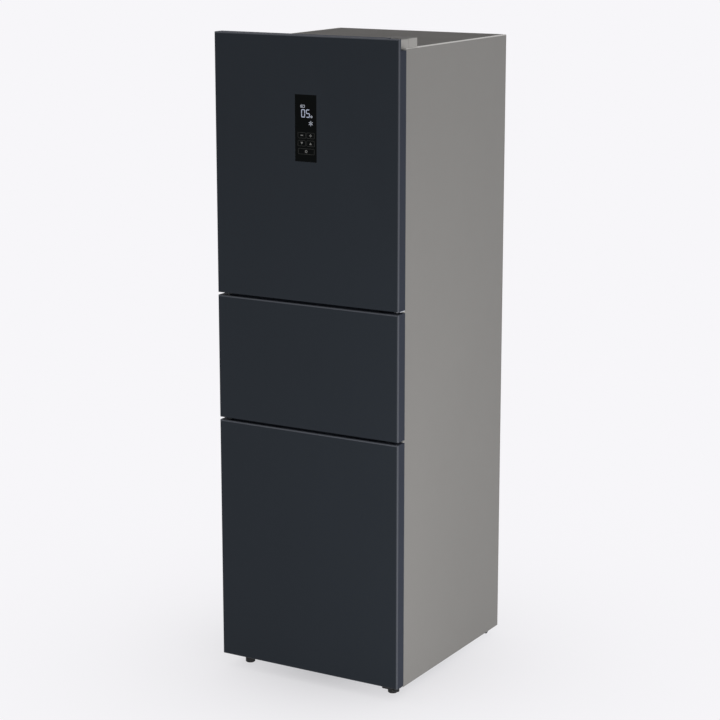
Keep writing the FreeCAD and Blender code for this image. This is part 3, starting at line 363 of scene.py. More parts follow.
@dataclass(frozen=True)
class Finish:
    """One surface finish: colour, gloss, fine texture and how much they vary."""

    name: str
    colour: Colour
    roughness: float
    texture: Texture
    metallic: float = 0.0
    specular: float = 0.5
    drift: float = 0.05
    # dust and its colour: a film on upward faces, real dust where lighter than the finish and painted shade
    # where darker.
    dust: float = 0.0
    dust_and_shade_colour: Colour = (0.42, 0.41, 0.39)
    transmission: float = 0.0
    ior: float = 1.5
    coat: float = 0.0
    glow: float = 0.0
    # edge and its weights: a painted highlight, in the edge colour, on faces that turn sideways, forwards
    # or up.
    edge: Colour | None = None
    painted_highlight_weights: Triple = (0.0, 0.0, 0.0)

    def material(self) -> bpy.types.Material:
        """The finish as a material, built the first time that it is asked for."""
        found = bpy.data.materials.get(self.name)
        if found:
            return found
        made = bpy.data.materials.new(self.name)
        shader = emptied(made)
        surface = shader.add("ShaderNodeBsdfPrincipled")
        target = shader.add("ShaderNodeOutputMaterial")
        shader.join(surface.outputs[0], target.inputs["Surface"])
        self.set_constants(surface)
        self.wire_colour(shader, surface)
        self.wire_relief(shader, surface)
        return made

    def set_constants(self, surface: bpy.types.Node) -> None:
        """Set what is the same all over the surface."""
        surface.inputs["Metallic"].default_value = self.metallic
        surface.inputs["Specular IOR Level"].default_value = self.specular
        surface.inputs["Transmission Weight"].default_value = self.transmission
        surface.inputs["IOR"].default_value = self.ior
        surface.inputs["Coat Weight"].default_value = self.coat
        surface.inputs["Emission Strength"].default_value = self.glow

    def wire_colour(self, shader: ShaderTree, surface: bpy.types.Node) -> None:
        """Feed the base colour, and the glow where there is one."""
        base = (*self.colour, 1.0)
        drift = ToneDrift().place(shader, colour=base, drift=self.drift, size=TONE_PATCHES)
        colour = drift.outputs["Colour"]
        # Painted highlight on the faces that turn away from the flat face, in the edge colour.
        if self.edge:
            tone = (*self.edge, 1.0)
            edge = PaintedEdgeHighlight().place(shader, colour=colour, edge=tone, weights=self.painted_highlight_weights)
            colour = edge.outputs["Colour"]
        # Colour on upward faces: dust, and painted shade where the colour is darker than the finish.
        if self.dust:
            tone = (*self.dust_and_shade_colour, 1.0)
            film = DustAndTopShade().place(shader, colour=colour, dust=tone, amount=self.dust)
            colour = film.outputs["Colour"]
        shader.join(colour, surface.inputs["Base Color"])
        if self.glow:
            shader.join(colour, surface.inputs["Emission Color"])

    def wire_relief(self, shader: ShaderTree, surface: bpy.types.Node) -> None:
        """Feed the roughness and the bump."""
        size, spread, depth = self.texture.value
        grain = SurfaceGrain().place(shader, roughness=self.roughness, spread=spread, size=size)
        shader.join(grain.outputs["Roughness"], surface.inputs["Roughness"])
        bump = shader.add("ShaderNodeBump")
        bump.inputs["Strength"].default_value = BUMP_STRENGTH
        bump.inputs["Distance"].default_value = depth
        shader.join(grain.outputs["Height"], bump.inputs["Height"])
        shader.join(bump.outputs["Normal"], surface.inputs["Normal"])


# The edge colour is a painted highlight on the panel's side and top bevels.
DOOR_FILM = Finish(
    "door_film",
    srgb(31, 36, 42),
    0.5,
    Texture.BRUSHED_UPRIGHT,
    specular=0.12,
    drift=0.03,
    edge=srgb(84, 87, 94),
    painted_highlight_weights=(0.72, 0.0, 1.3),
)
DOOR_EDGE = Finish("door_edge_plastic", srgb(57, 61, 71), 0.65, Texture.MOULDED, specular=0.05)
INSULATION = Finish(
    "insulation_foam", srgb(232, 216, 168), 0.9, Texture.FOAM_CELLS, specular=0.2, drift=0.1
)
LINER_WHITE = Finish("liner_white", srgb(236, 238, 238), 0.32, Texture.PAINT_PEEL, drift=0.012)
GASKET_RUBBER = Finish("gasket_rubber", srgb(92, 94, 97), 0.62, Texture.MOULDED, specular=0.35)
CONTROL_FILM = Finish("control_film", srgb(6, 8, 8), 0.16, Texture.POLISHED, specular=0.03)
BOARD_GREEN = Finish("board_green", srgb(22, 74, 46), 0.4, Texture.MOULDED, drift=0.2)
CLEAR_PLASTIC = Finish(
    "clear_plastic", srgb(222, 232, 238), 0.12, Texture.POLISHED, transmission=0.9, ior=1.46, drift=0.01
)
# The edge colour is a painted highlight on the panel's rounded front and top edges.
SIDE_GREY = Finish(
    "side_grey_paint",
    srgb(137, 135, 132),
    0.45,
    Texture.PAINT_PEEL,
    specular=0.3,
    drift=0.015,
    edge=srgb(225, 223, 219),
    painted_highlight_weights=(0.0, 0.45, 1.6),
)
# Darker than the side paint: partly the top's own grey and partly painted shade on a face that looks up.
TOP_GREY_PART_SHADED = Finish("top_grey_paint_part_shaded", srgb(119, 117, 115), 0.8, Texture.PAINT_PEEL, specular=0.01, dust=0.05)
BACK_GREY = Finish("back_grey_zinc", srgb(132, 133, 134), 0.5, Texture.ROLLED_ZINC, metallic=0.4, dust=0.1)
GALVANISED = Finish(
    "galvanised_steel", srgb(168, 171, 174), 0.42, Texture.ROLLED_ZINC, metallic=0.9, drift=0.12
)
RAIL_GREY = Finish("rail_grey_paint", srgb(120, 121, 122), 0.45, Texture.PAINT_PEEL, specular=0.35)
HINGE_STEEL = Finish("hinge_steel", srgb(158, 158, 157), 0.38, Texture.BRUSHED_ACROSS, metallic=1.0)
HINGE_ZINC = Finish(
    "hinge_bright_zinc", srgb(238, 241, 248), 0.4, Texture.ROLLED_ZINC, metallic=1.0, drift=0.03
)
HINGE_PAINT = Finish("hinge_black_paint", srgb(26, 27, 29), 0.5, Texture.PAINT_PEEL, specular=0.3)
# Its dark dust colour at a high amount is painted shade on the cover's upward faces.
COVER_GREY = Finish(
    "cover_grey_plastic",
    srgb(172, 170, 167),
    0.65,
    Texture.SPARK_ERODED,
    specular=0.08,
    dust=1.7,
    dust_and_shade_colour=srgb(104, 102, 100),
)
SHELL_BLACK = Finish("shell_black_paint", srgb(22, 22, 23), 0.4, Texture.PAINT_PEEL, dust=0.3)
MOUNT_RUBBER = Finish("mount_rubber", srgb(28, 28, 28), 0.75, Texture.MOULDED, specular=0.3)
TRAY_BLACK = Finish("tray_black_plastic", srgb(30, 30, 31), 0.5, Texture.SPARK_ERODED, dust=0.35)
COPPER = Finish("copper_tube", srgb(196, 122, 84), 0.3, Texture.BRUSHED_ACROSS, metallic=1.0, drift=0.15)
FIN_ALUMINIUM = Finish("fin_aluminium", srgb(204, 206, 208), 0.35, Texture.BRUSHED_UPRIGHT, metallic=1.0)
FAN_WHITE = Finish("fan_white_plastic", srgb(224, 226, 226), 0.4, Texture.MOULDED)
LAMP_LENS = Finish(
    "lamp_lens", srgb(240, 242, 246), 0.4, Texture.SPARK_ERODED, transmission=0.5, drift=0.01, glow=0.25
)
SHELF_GLASS = Finish(
    "shelf_glass", srgb(214, 232, 226), 0.04, Texture.POLISHED, transmission=0.95, ior=1.52
)
TRIM_WHITE = Finish("trim_white_plastic", srgb(232, 234, 235), 0.36, Texture.MOULDED, drift=0.015)
FOOT_BLACK = Finish(
    "foot_black_plastic", srgb(14, 14, 15), 0.55, Texture.SPARK_ERODED, specular=0.3, dust=0.08
)
DIGIT_LIGHT = Finish("digit_light", srgb(152, 158, 178), 0.4, Texture.POLISHED, glow=0.4, drift=0.03)
ICON_LIGHT = Finish("icon_light", srgb(146, 150, 160), 0.4, Texture.POLISHED, glow=0.25, drift=0.03)
KEY_PRINT = Finish("key_print", srgb(112, 112, 110), 0.5, Texture.MOULDED, specular=0.2)
KEY_LINE = Finish("key_line_print", srgb(66, 67, 65), 0.5, Texture.MOULDED, specular=0.1)


def dress(finish: Finish, *nodes: str) -> None:
    """Give nodes of the part a finish.

    Args:
        finish: The finish to wear.
        nodes: The nodes' names.
    """
    for name in nodes:
        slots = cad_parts[name].data.materials
        slots.clear()
        slots.append(finish.material())
        LOG.info("%s wears %s", name, finish.name)


def soften(width: float, *nodes: str) -> None:
    """Round the sharp edges of nodes.

    Args:
        width: The rounding's width in metres.
        nodes: The nodes' names.
    """
    for name in nodes:
        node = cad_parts[name]
        weld = node.modifiers.new("joined_corners", "WELD")
        weld.merge_threshold = JOINED_CORNERS
        bevel = node.modifiers.new("soft_edges", "BEVEL")
        bevel.width = width
        bevel.segments = EDGE_SEGMENTS
        bevel.limit_method = "ANGLE"
        bevel.angle_limit = EDGE_ANGLE
        bevel.harden_normals = True


class Solid:
    """A mesh that is put together from corners and faces, then rides on a body."""

    def __init__(self, name: str) -> None:
        """Start an empty mesh."""
        self.name = name
        self.mesh = bmesh.new()

    def corner(self, x: float, y: float, z: float) -> bmesh.types.BMVert:
        """Add a corner."""
        return self.mesh.verts.new((x, y, z))

    def skin(self, loops: Sequence[Sequence[bmesh.types.BMVert]], closed: bool) -> None:
        """Join loops of corners with faces, one loop to the next.

        Args:
            loops: Loops with the same number of corners.
            closed: Whether the last loop is joined to the first.
        """
        pairs = list(zip(loops, loops[1:]))
        if closed:
            pairs.append((loops[-1], loops[0]))
        for near, far in pairs:
            for index in range(len(near)):
                after = (index + 1) % len(near)
                self.mesh.faces.new((near[index], near[after], far[after], far[index]))

    def prism(self, outline: Sequence[Point], back: float, front: float) -> None:
        """Add a plate that faces along Y.

        Args:
            outline: Corners in X and Z.
            back: The plate's back in Y.
            front: The plate's front in Y.
        """
        loops = [[self.corner(x, y, z) for x, z in outline] for y in (back, front)]
        self.skin(loops, closed=False)
        for loop in loops:
            self.mesh.faces.new(loop)

    def band(self, outer: Sequence[Point], inner: Sequence[Point], back: float, front: float) -> None:
        """Add a flat ring that faces along Y, between two outlines.

        Args:
            outer: The outer corners in X and Z.
            inner: As many inner corners.
            back: The ring's back in Y.
            front: The ring's front in Y.
        """
        loops = [
            [self.corner(x, y, z) for x, z in outline]
            for outline, y in ((outer, back), (outer, front), (inner, front), (inner, back))
        ]
        self.skin(loops, closed=True)

    def revolve(self, profile: Iterable[Triple], centre: Vector, turns: int, lobes: int) -> None:
        """Add a turned form about an upright axis, with flutes where they are asked for.

        Args:
            profile: Radius, height and flute depth, from the bottom up.
            centre: The axis' foot.
            turns: How many corners go round.
            lobes: How many flutes go round.
        """
        loops = []
        for radius, height, flute in profile:
            loop = []
            for step in range(turns):
                angle = math.tau * step / turns
                reach = radius - flute * (0.5 + 0.5 * math.cos(lobes * angle))
                x = centre.x + reach * math.cos(angle)
                y = centre.y + reach * math.sin(angle)
                loop.append(self.corner(x, y, centre.z + height))
            loops.append(loop)
        self.skin(loops, closed=False)
        self.mesh.faces.new(loops[0])
        self.mesh.faces.new(loops[-1])

    def finish(self, finish: Finish, body: str, slot: str, smooth_below: float = 0.0) -> bpy.types.Object:
        """Make the object, give it its finish and let it ride on a body.

        Args:
            finish: The finish to wear.
            body: The body that it moves with.
            slot: Not used.
            smooth_below: Edges bent by less than this many degrees look smooth.

        Returns:
            The object.
        """
        bmesh.ops.recalc_face_normals(self.mesh, faces=self.mesh.faces)
        if smooth_below:
            limit = math.radians(smooth_below)
            for face in self.mesh.faces:
                face.smooth = True
            for edge in self.mesh.edges:
                edge.smooth = edge.calc_face_angle(math.pi) < limit
        data = bpy.data.meshes.new(self.name)
        self.mesh.to_mesh(data)
        self.mesh.free()
        data.materials.append(finish.material())
        made = bpy.data.objects.new(self.name, data)
        bpy.context.scene.collection.objects.link(made)
        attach(made, body)
        LOG.info("%s rides on %s", self.name, body)
        return made


def rounded_outline(x: float, z: float, width: float, height: float, radius: float) -> list[Point]:
    """A rectangle with round corners.

    Args:
        x: The middle in X.
        z: The middle in Z.
        width: The full width.
        height: The full height.
        radius: The corners' radius.

    Returns:
        Corners in X and Z, anticlockwise.
    """
    points = []
    for quarter, (right, up) in enumerate(((1, 1), (-1, 1), (-1, -1), (1, -1))):
        for step in range(CORNER_STEPS + 1):
            angle = math.radians(90 * quarter + 90 / CORNER_STEPS * step)
            points.append(
                (
                    x + right * (width / 2 - radius) + radius * math.cos(angle),
                    z + up * (height / 2 - radius) + radius * math.sin(angle),
                )
            )
    return points


@dataclass
class Door:
    """One door: its pieces' finishes and the bellows of its gasket.

    The gasket's profile is in millimetres: how far in from its outer edge, and how far back from its front.
    """

    name: str
    liner_round: float = 2.5 * MM
    frame_round: float = 0.6 * MM
    gasket_profile: tuple[Point, ...] = (
        (0.0, 0.0),
        (0.0, 2.0),
        (2.4, 3.4),
        (2.4, 5.4),
        (0.5, 7.0),
        (0.5, 11.4),
        (1.6, 12.7),
        (12.4, 12.7),
        (13.5, 11.4),
        (13.5, 7.0),
        (11.6, 5.4),
        (11.6, 3.4),
        (14.0, 2.0),
        (14.0, 0.0),
    )

    def build(self) -> None:
        """Dress the door and give it its gasket."""
        part = f"{self.name}_door"
        dress(DOOR_FILM, f"{part}_panel")
        dress(DOOR_EDGE, f"{part}_frame")
        dress(INSULATION, f"{part}_foam")
        dress(LINER_WHITE, f"{part}_liner")
        dress(GASKET_RUBBER, f"{part}_gasket")
        soften(self.liner_round, f"{part}_liner")
        soften(self.frame_round, f"{part}_frame")
        self.build_gasket(part)

    def build_gasket(self, part: str) -> None:
        """Sweep the bellows' section round the gasket's rectangle."""
        low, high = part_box(f"{part}_gasket")
        solid = Solid(f"{part}_bellows")
        loops = []
        for inset, depth in self.gasket_profile:
            left, right = low.x + inset * MM, high.x - inset * MM
            bottom, top = low.z + inset * MM, high.z - inset * MM
            y = low.y + depth * MM
            outline = ((left, bottom), (right, bottom), (right, top), (left, top))
            loops.append([solid.corner(x, y, z) for x, z in outline])
        solid.skin(loops, closed=True)
        made = solid.finish(GASKET_RUBBER, part, "gasket")
        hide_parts(f"{part}_gasket")


class Segment(Enum):
    """The bars of a lit digit, as the middle in shares of its size and whether they lie flat."""

    TOP = (0.0, 1.0, True)
    UPPER_RIGHT = (0.5, 0.75, False)
    LOWER_RIGHT = (0.5, 0.25, False)
    BOTTOM = (0.0, 0.0, True)
    LOWER_LEFT = (-0.5, 0.25, False)
    UPPER_LEFT = (-0.5, 0.75, False)
    MIDDLE = (0.0, 0.5, True)


ZERO = tuple(bar for bar in Segment if bar is not Segment.MIDDLE)
FIVE = (Segment.TOP, Segment.UPPER_LEFT, Segment.MIDDLE, Segment.LOWER_RIGHT, Segment.BOTTOM)


@dataclass
class ControlPanel:
    """The upper door's display and touch keys: lit digits, signs and printed key outlines.

    Places are across and up from the panel's middle.
    """

    body: str = "upper_door"
    mark_height: float = 0.08 * MM
    digit_width: float = 9 * MM
    digit_height: float = 18.5 * MM
    digit_line: float = 2.1 * MM
    digit_places: tuple[Point, ...] = ((-7.5 * MM, 28.5 * MM), (6.5 * MM, 28.5 * MM))
    key_height: float = 14.5 * MM
    key_line: float = 0.5 * MM
    key_rows: tuple[float, ...] = (-18 * MM, -38 * MM)
    key_columns: tuple[float, ...] = (-12 * MM, 14 * MM)
    key_width: float = 23 * MM
    key_round: float = 2 * MM
    wide_key: Triple = (1 * MM, -58.5 * MM, 48 * MM)
    wide_key_ring: Point = (7.5 * MM, 4 * MM)
    sign_length: float = 7 * MM
    sign_line: float = 2.4 * MM
    arrow_half: float = 3.6 * MM
    arrow_rise: float = 3 * MM
    tag_place: Point = (-9 * MM, 55.5 * MM)
    tag_size: Point = (13 * MM, 7 * MM)
    tag_line: float = 1.3 * MM
    tag_round: float = 2 * MM
    tag_dash: tuple[float, ...] = (-11 * MM, 55.5 * MM, 4 * MM, 2.4 * MM, 1 * MM)
    degree_place: Point = (17 * MM, 30 * MM)
    degree_ring: Point = (6 * MM, 2.4 * MM)
    frost_place: Point = (15 * MM, 13 * MM)
    frost_length: float = 13 * MM
    frost_line: float = 1.8 * MM
    frost_arms: int = 3
    front: float = field(init=False)
    middle: Vector = field(init=False)

    def __post_init__(self) -> None:
        """Read where the panel's front face and its middle are."""
        low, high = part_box("control_panel")
        self.front = low.y
        self.middle = (low + high) / 2

    def build(self) -> None:
        """Dress the panel and lay its marks on it."""
        dress(CONTROL_FILM, "control_panel")
        dress(BOARD_GREEN, "control_board")
        self.build_digits()
        self.build_signs()
        self.build_keys()

    def placed(self, outline: Sequence[Point]) -> list[Point]:
        """An outline about the panel's middle, in the part's own frame."""
        return [(x + self.middle.x, z + self.middle.z) for x, z in outline]

    def plate(self, solid: Solid, outline: Sequence[Point]) -> None:
        """Lay a thin plate on the panel's front."""
        solid.prism(self.placed(outline), self.front, self.front - self.mark_height)

    def hoop(self, solid: Solid, outer: Sequence[Point], inner: Sequence[Point]) -> None:
        """Lay a thin flat ring on the panel's front."""
        solid.band(self.placed(outer), self.placed(inner), self.front, self.front - self.mark_height)

    def bar(self, solid: Solid, x: float, z: float, width: float, height: float) -> None:
        """Lay a bar with pointed ends on the panel, along its longer side."""
        across, up = width / 2, height / 2
        if width > height:
            outline = [
                (x - across, z),
                (x - across + up, z - up),
                (x + across - up, z - up),
                (x + across, z),
                (x + across - up, z + up),
                (x - across + up, z + up),
            ]
        else:
            outline = [
                (x, z - up),
                (x + across, z - up + across),
                (x + across, z + up - across),
                (x, z + up),
                (x - across, z + up - across),
                (x - across, z - up + across),
            ]
        self.plate(solid, outline)

    def build_digits(self) -> None:
        """Light a temperature's two digits."""
        solid = Solid("display_digits")
        for (x, z), bars in zip(self.digit_places, (ZERO, FIVE)):
            for segment in bars:
                across, up, flat = segment.value
                length = self.digit_width if flat else self.digit_height / 2
                size = (length, self.digit_line) if flat else (self.digit_line, length)
                self.bar(solid, x + across * self.digit_width, z + up * self.digit_height, *size)
        solid.finish(DIGIT_LIGHT, self.body, "control_glass")

    def build_signs(self) -> None:
        """Light the tag over the digits, the degree ring and the frost sign below."""
        signs = Solid("display_signs")
        width, height = self.tag_size
        cuts = (0.0, 2 * self.tag_line)
        tag = [rounded_outline(*self.tag_place, width - cut, height - cut, self.tag_round) for cut in cuts]
        self.hoop(signs, *tag)
        self.plate(signs, rounded_outline(*self.tag_dash))
        self.ring(signs, *self.degree_place, self.degree_ring)
        for turn in range(self.frost_arms):
            angle = math.pi * turn / self.frost_arms + math.pi / 2
            along = Vector((math.cos(angle), math.sin(angle)))
            self.stroke(signs, Vector(self.frost_place), along, self.frost_length, self.frost_line)
        signs.finish(ICON_LIGHT, self.body, "control_glass")

    def ring(self, solid: Solid, x: float, z: float, sizes: Point) -> None:
        """Lay a round ring on the panel.

        Args:
            solid: The mesh that it goes into.
            x: Its middle in X.
            z: Its middle in Z.
            sizes: Its outer and inner diameter.
        """
        self.hoop(solid, *(rounded_outline(x, z, size, size, size / 2) for size in sizes))

    def stroke(self, solid: Solid, middle: Vector, along: Vector, length: float, line: float) -> None:
        """Lay a straight stroke on the panel.

        Args:
            solid: The mesh that it goes into.
            middle: Its middle in X and Z.
            along: Its direction.
            length: Its length.
            line: Its width.
        """
        side = Vector((-along.y, along.x)) * line / 2
        reach = along * length / 2
        start, end = middle - reach, middle + reach
        corners = (start - side, end - side, end + side, start + side)
        self.plate(solid, [(corner.x, corner.y) for corner in corners])

    def build_keys(self) -> None:
        """Print the keys' outlines and a plain sign in each."""
        lines = Solid("key_outlines")
        signs = Solid("key_signs")
        for row, z in enumerate(self.key_rows):
            for column, x in enumerate(self.key_columns):
                self.key(lines, x, z, self.key_width)
                self.key_sign(signs, x, z, row, column)
        x, z, width = self.wide_key
        self.key(lines, x, z, width)
        self.ring(signs, x, z, self.wide_key_ring)
        lines.finish(KEY_LINE, self.body, "control_glass")
        signs.finish(KEY_PRINT, self.body, "control_glass")

    def key(self, solid: Solid, x: float, z: float, width: float) -> None:
        """Print one key's outline."""
        outlines = [
            rounded_outline(x, z, width - 2 * cut, self.key_height - 2 * cut, self.key_round - cut)
            for cut in (0.0, self.key_line)
        ]
        self.hoop(solid, *outlines)

    def key_sign(self, solid: Solid, x: float, z: float, row: int, column: int) -> None:
        """Print a minus, a plus, or an arrow down or up."""
        middle = Vector((x, z))
        if row == 0:
            self.stroke(solid, middle, Vector((1, 0)), self.sign_length, self.sign_line)
            if column == 1:
                self.stroke(solid, middle, Vector((0, 1)), self.sign_length, self.sign_line)
            return
        half = self.arrow_half
        rise = self.arrow_rise if column else -self.arrow_rise
        self.plate(solid, [(x - half, z - rise), (x + half, z - rise), (x, z + rise)])


@dataclass
class Cabinet:
    """The cabinet: outer sheets, insulation, inner liners and the screws of its back."""

    liner_round: float = 0.8 * MM
    sheet_round: float = 0.4 * MM
    screw_inset: float = 12 * MM
    screw_seat: float = 1 * MM
    screw_levels: tuple[float, ...] = (0.03, 0.27, 0.5, 0.73, 0.97)
    screw_radius: float = 4 * MM
    screw_rise: float = 0.9 * MM
    screw_steps: int = 24
    screw_rings: tuple[float, ...] = (1.0, 0.96, 0.8, 0.62, 0.56, 0.3, 0.1)
    screw_smooth: float = 50.0
    dome_share: float = 0.9
    dome_power: int = 4
    cross_reach: float = 0.6
    cross_half: float = 0.16
    cross_depth: float = 0.6

    def build(self) -> None:
        """Dress the cabinet."""
        dress(SIDE_GREY, "side_panel_left", "side_panel_right")
        dress(TOP_GREY_PART_SHADED, "top_panel")
        dress(BACK_GREY, "back_panel")
        dress(GALVANISED, "base_pan")
        dress(INSULATION, "cabinet_foam")
        dress(LINER_WHITE, "fridge_liner", "middle_liner", "freezer_liner")
        dress(RAIL_GREY, "mullion_rails")
        soften(self.liner_round, "fridge_liner", "middle_liner", "freezer_liner")
        soften(self.sheet_round, "back_panel", "top_panel")
        self.build_back_screws()

    def build_back_screws(self) -> None:
        """Drive a row of pan-head screws down each side of the back panel."""
        low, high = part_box("back_panel")
        sheet = high.y - self.screw_seat
        solid = Solid("back_screws")
        for x in (low.x + self.screw_inset, high.x - self.screw_inset):
            for share in self.screw_levels:
                self.screw(solid, x, low.z + share * (high.z - low.z), sheet)
        solid.finish(HINGE_STEEL, "cabinet", "hinge_steel", smooth_below=self.screw_smooth)

    def screw(self, solid: Solid, x: float, z: float, y: float) -> None:
        """Add one low pan head with a cross recess, which looks back.

        Args:
            solid: The mesh that it goes into.
            x: The middle in X.
            z: The middle in Z.
            y: The sheet's outer face.
        """
        loops = []
        for reach in self.screw_rings:
            dome = math.sqrt(max(0.0, 1.0 - (self.dome_share * reach) ** self.dome_power))
            loop = []
            for step in range(self.screw_steps):
                angle = math.tau * step / self.screw_steps
                across, up = reach * math.cos(angle), reach * math.sin(angle)
                recessed = reach < self.cross_reach and min(abs(across), abs(up)) < self.cross_half
                rise = self.screw_rise * (0.0 if reach == 1.0 else dome - self.cross_depth * recessed)
                side, level = across * self.screw_radius, up * self.screw_radius
                loop.append(solid.corner(x + side, y + rise, z + level))
            loops.append(loop)
        solid.skin(loops, closed=False)
        solid.mesh.faces.new(loops[-1])
        solid.mesh.faces.new(loops[0])


@dataclass
class Hinges:
    """The hinges on the right side, with their cover, screws and foot bracket."""

    cover_round: float = 1.6 * MM
    plate_round: float = 0.5 * MM

    def build(self) -> None:
        """Dress the hinges."""
        dress(COVER_GREY, "hinge_cover")
        dress(HINGE_STEEL, "top_hinge", "hinge_screws")
        dress(HINGE_ZINC, "middle_hinges")
        dress(HINGE_PAINT, "bottom_hinge", "foot_bracket")
        soften(self.cover_round, "hinge_cover")
        soften(self.plate_round, "middle_hinges", "bottom_hinge", "foot_bracket", "hinge_screws")


@dataclass
class Feet:
    """Two fluted levelling feet in front and two rollers behind."""

    flute: float = 0.9 * MM
    rim_play: float = 0.5 * MM
    lobes: int = 18
    corners_per_lobe: int = 6
    roller_round: float = 1.2 * MM
    base_round: float = 1.6 * MM
    base_band: float = 5 * MM
    edge: float = 1 * MM
    stud: float = 4 * MM
    rim_smooth: float = 40.0

    def build(self) -> None:
        """Turn the feet and dress the rollers."""
        dress(FOOT_BLACK, "rear_roller_left", "rear_roller_right", "front_foot_left", "front_foot_right")
        soften(self.roller_round, "rear_roller_left", "rear_roller_right")
        for side in ("left", "right"):
            self.build_foot(f"front_foot_{side}")

    def build_foot(self, node: str) -> None:
        """Turn one foot with a fluted rim and its stud."""
        low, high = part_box(node)
        centre = Vector(((low.x + high.x) / 2, (low.y + high.y) / 2, low.z))
        radius = (high.x - low.x) / 2
        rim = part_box("foot_bracket")[0].z - self.rim_play - low.z
        profile = (
            (radius - self.base_round, 0.0, 0.0),
            (radius, self.base_round, 0.0),
            (radius, self.base_band, 0.0),
            (radius, self.base_band + self.edge, self.flute),
            (radius, rim - 3 * self.edge, self.flute),
            (radius, rim - 2 * self.edge, 0.0),
            (radius, rim - self.edge, 0.0),
            (radius - self.edge, rim, 0.0),
            (self.stud, rim, 0.0),
            (self.stud, high.z - low.z, 0.0),
        )
        solid = Solid(f"{node}_fluted")
        solid.revolve(profile, centre, self.lobes * self.corners_per_lobe, self.lobes)
        made = solid.finish(FOOT_BLACK, node, "foot_black", smooth_below=self.rim_smooth)
        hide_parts(node)


@dataclass
class MachineBay:
    """The compressor and what stands round it behind the louvred cover."""

    sheet_round: float = 0.3 * MM

    def build(self) -> None:
        """Dress the machine bay."""
        dress(GALVANISED, "compressor_plate")
        dress(SHELL_BLACK, "compressor")
        dress(MOUNT_RUBBER, "compressor_mounts")
        dress(TRAY_BLACK, "drip_tray", "power_inlet")
        dress(COPPER, "condenser_coil")
        dress(BACK_GREY, "machine_cover")
        soften(self.sheet_round, "machine_cover", "power_inlet", "drip_tray")


@dataclass
class ColdSide:
    """Evaporator, fan, air duct and lamp."""

    moulding_round: float = 1.2 * MM
    thin_round: float = 0.5 * MM

    def build(self) -> None:
        """Dress the cold side."""
        dress(FIN_ALUMINIUM, "evaporator")
        dress(LINER_WHITE, "evaporator_cover", "air_duct")
        dress(MOUNT_RUBBER, "fan_motor")
        dress(FAN_WHITE, "fan_rotor")
        dress(LAMP_LENS, "lamp_cover")
        soften(self.moulding_round, "air_duct", "lamp_cover")
        soften(self.thin_round, "evaporator_cover", "fan_rotor")


@dataclass
class Storage:
    """Shelves, drawers and the upper door's balconies."""

    drawers: tuple[str, ...] = (
        "crisper_drawer",
        "middle_drawer",
        "freezer_drawer_upper",
        "freezer_drawer_middle",
        "freezer_drawer_lower",
    )
    balconies: tuple[str, ...] = ("bottle_balcony", "middle_balcony", "upper_balcony")
    glass_round: float = 0.6 * MM
    trim_round: float = 1.5 * MM
    tray_round: float = 1.2 * MM

    def build(self) -> None:
        """Dress the storage."""
        dress(SHELF_GLASS, "glass_shelves")
        dress(TRIM_WHITE, "shelf_trims")
        dress(CLEAR_PLASTIC, *self.drawers, *self.balconies)
        soften(self.glass_round, "glass_shelves")
        soften(self.trim_round, "shelf_trims")
        soften(self.tray_round, *self.drawers, *self.balconies)


def stand(data: bpy.types.Light | bpy.types.Camera, place: Triple, target: Triple) -> bpy.types.Object:
    """Put a lamp or a camera in the scene.

    Args:
        data: The lamp or the camera.
        place: Where it stands.
        target: The point that it looks at.

    Returns:
        The object.
    """
    made = bpy.data.objects.new(data.name, data)
    made.location = place
    made.rotation_euler = (Vector(target) - Vector(place)).to_track_quat("-Z", "Y").to_euler()
    bpy.context.scene.collection.objects.link(made)
    return made


@dataclass(frozen=True)
class SoftBox:
    """A flat lamp that looks at a point."""

    name: str
    place: Triple
    target: Triple
    width: float
    height: float
    power: float

    def build(self) -> None:
        """Set the lamp up."""
        data = bpy.data.lights.new(self.name, "AREA")
        data.shape = "RECTANGLE"
        data.size = self.width
        data.size_y = self.height
        data.energy = self.power
        stand(data, self.place, self.target)


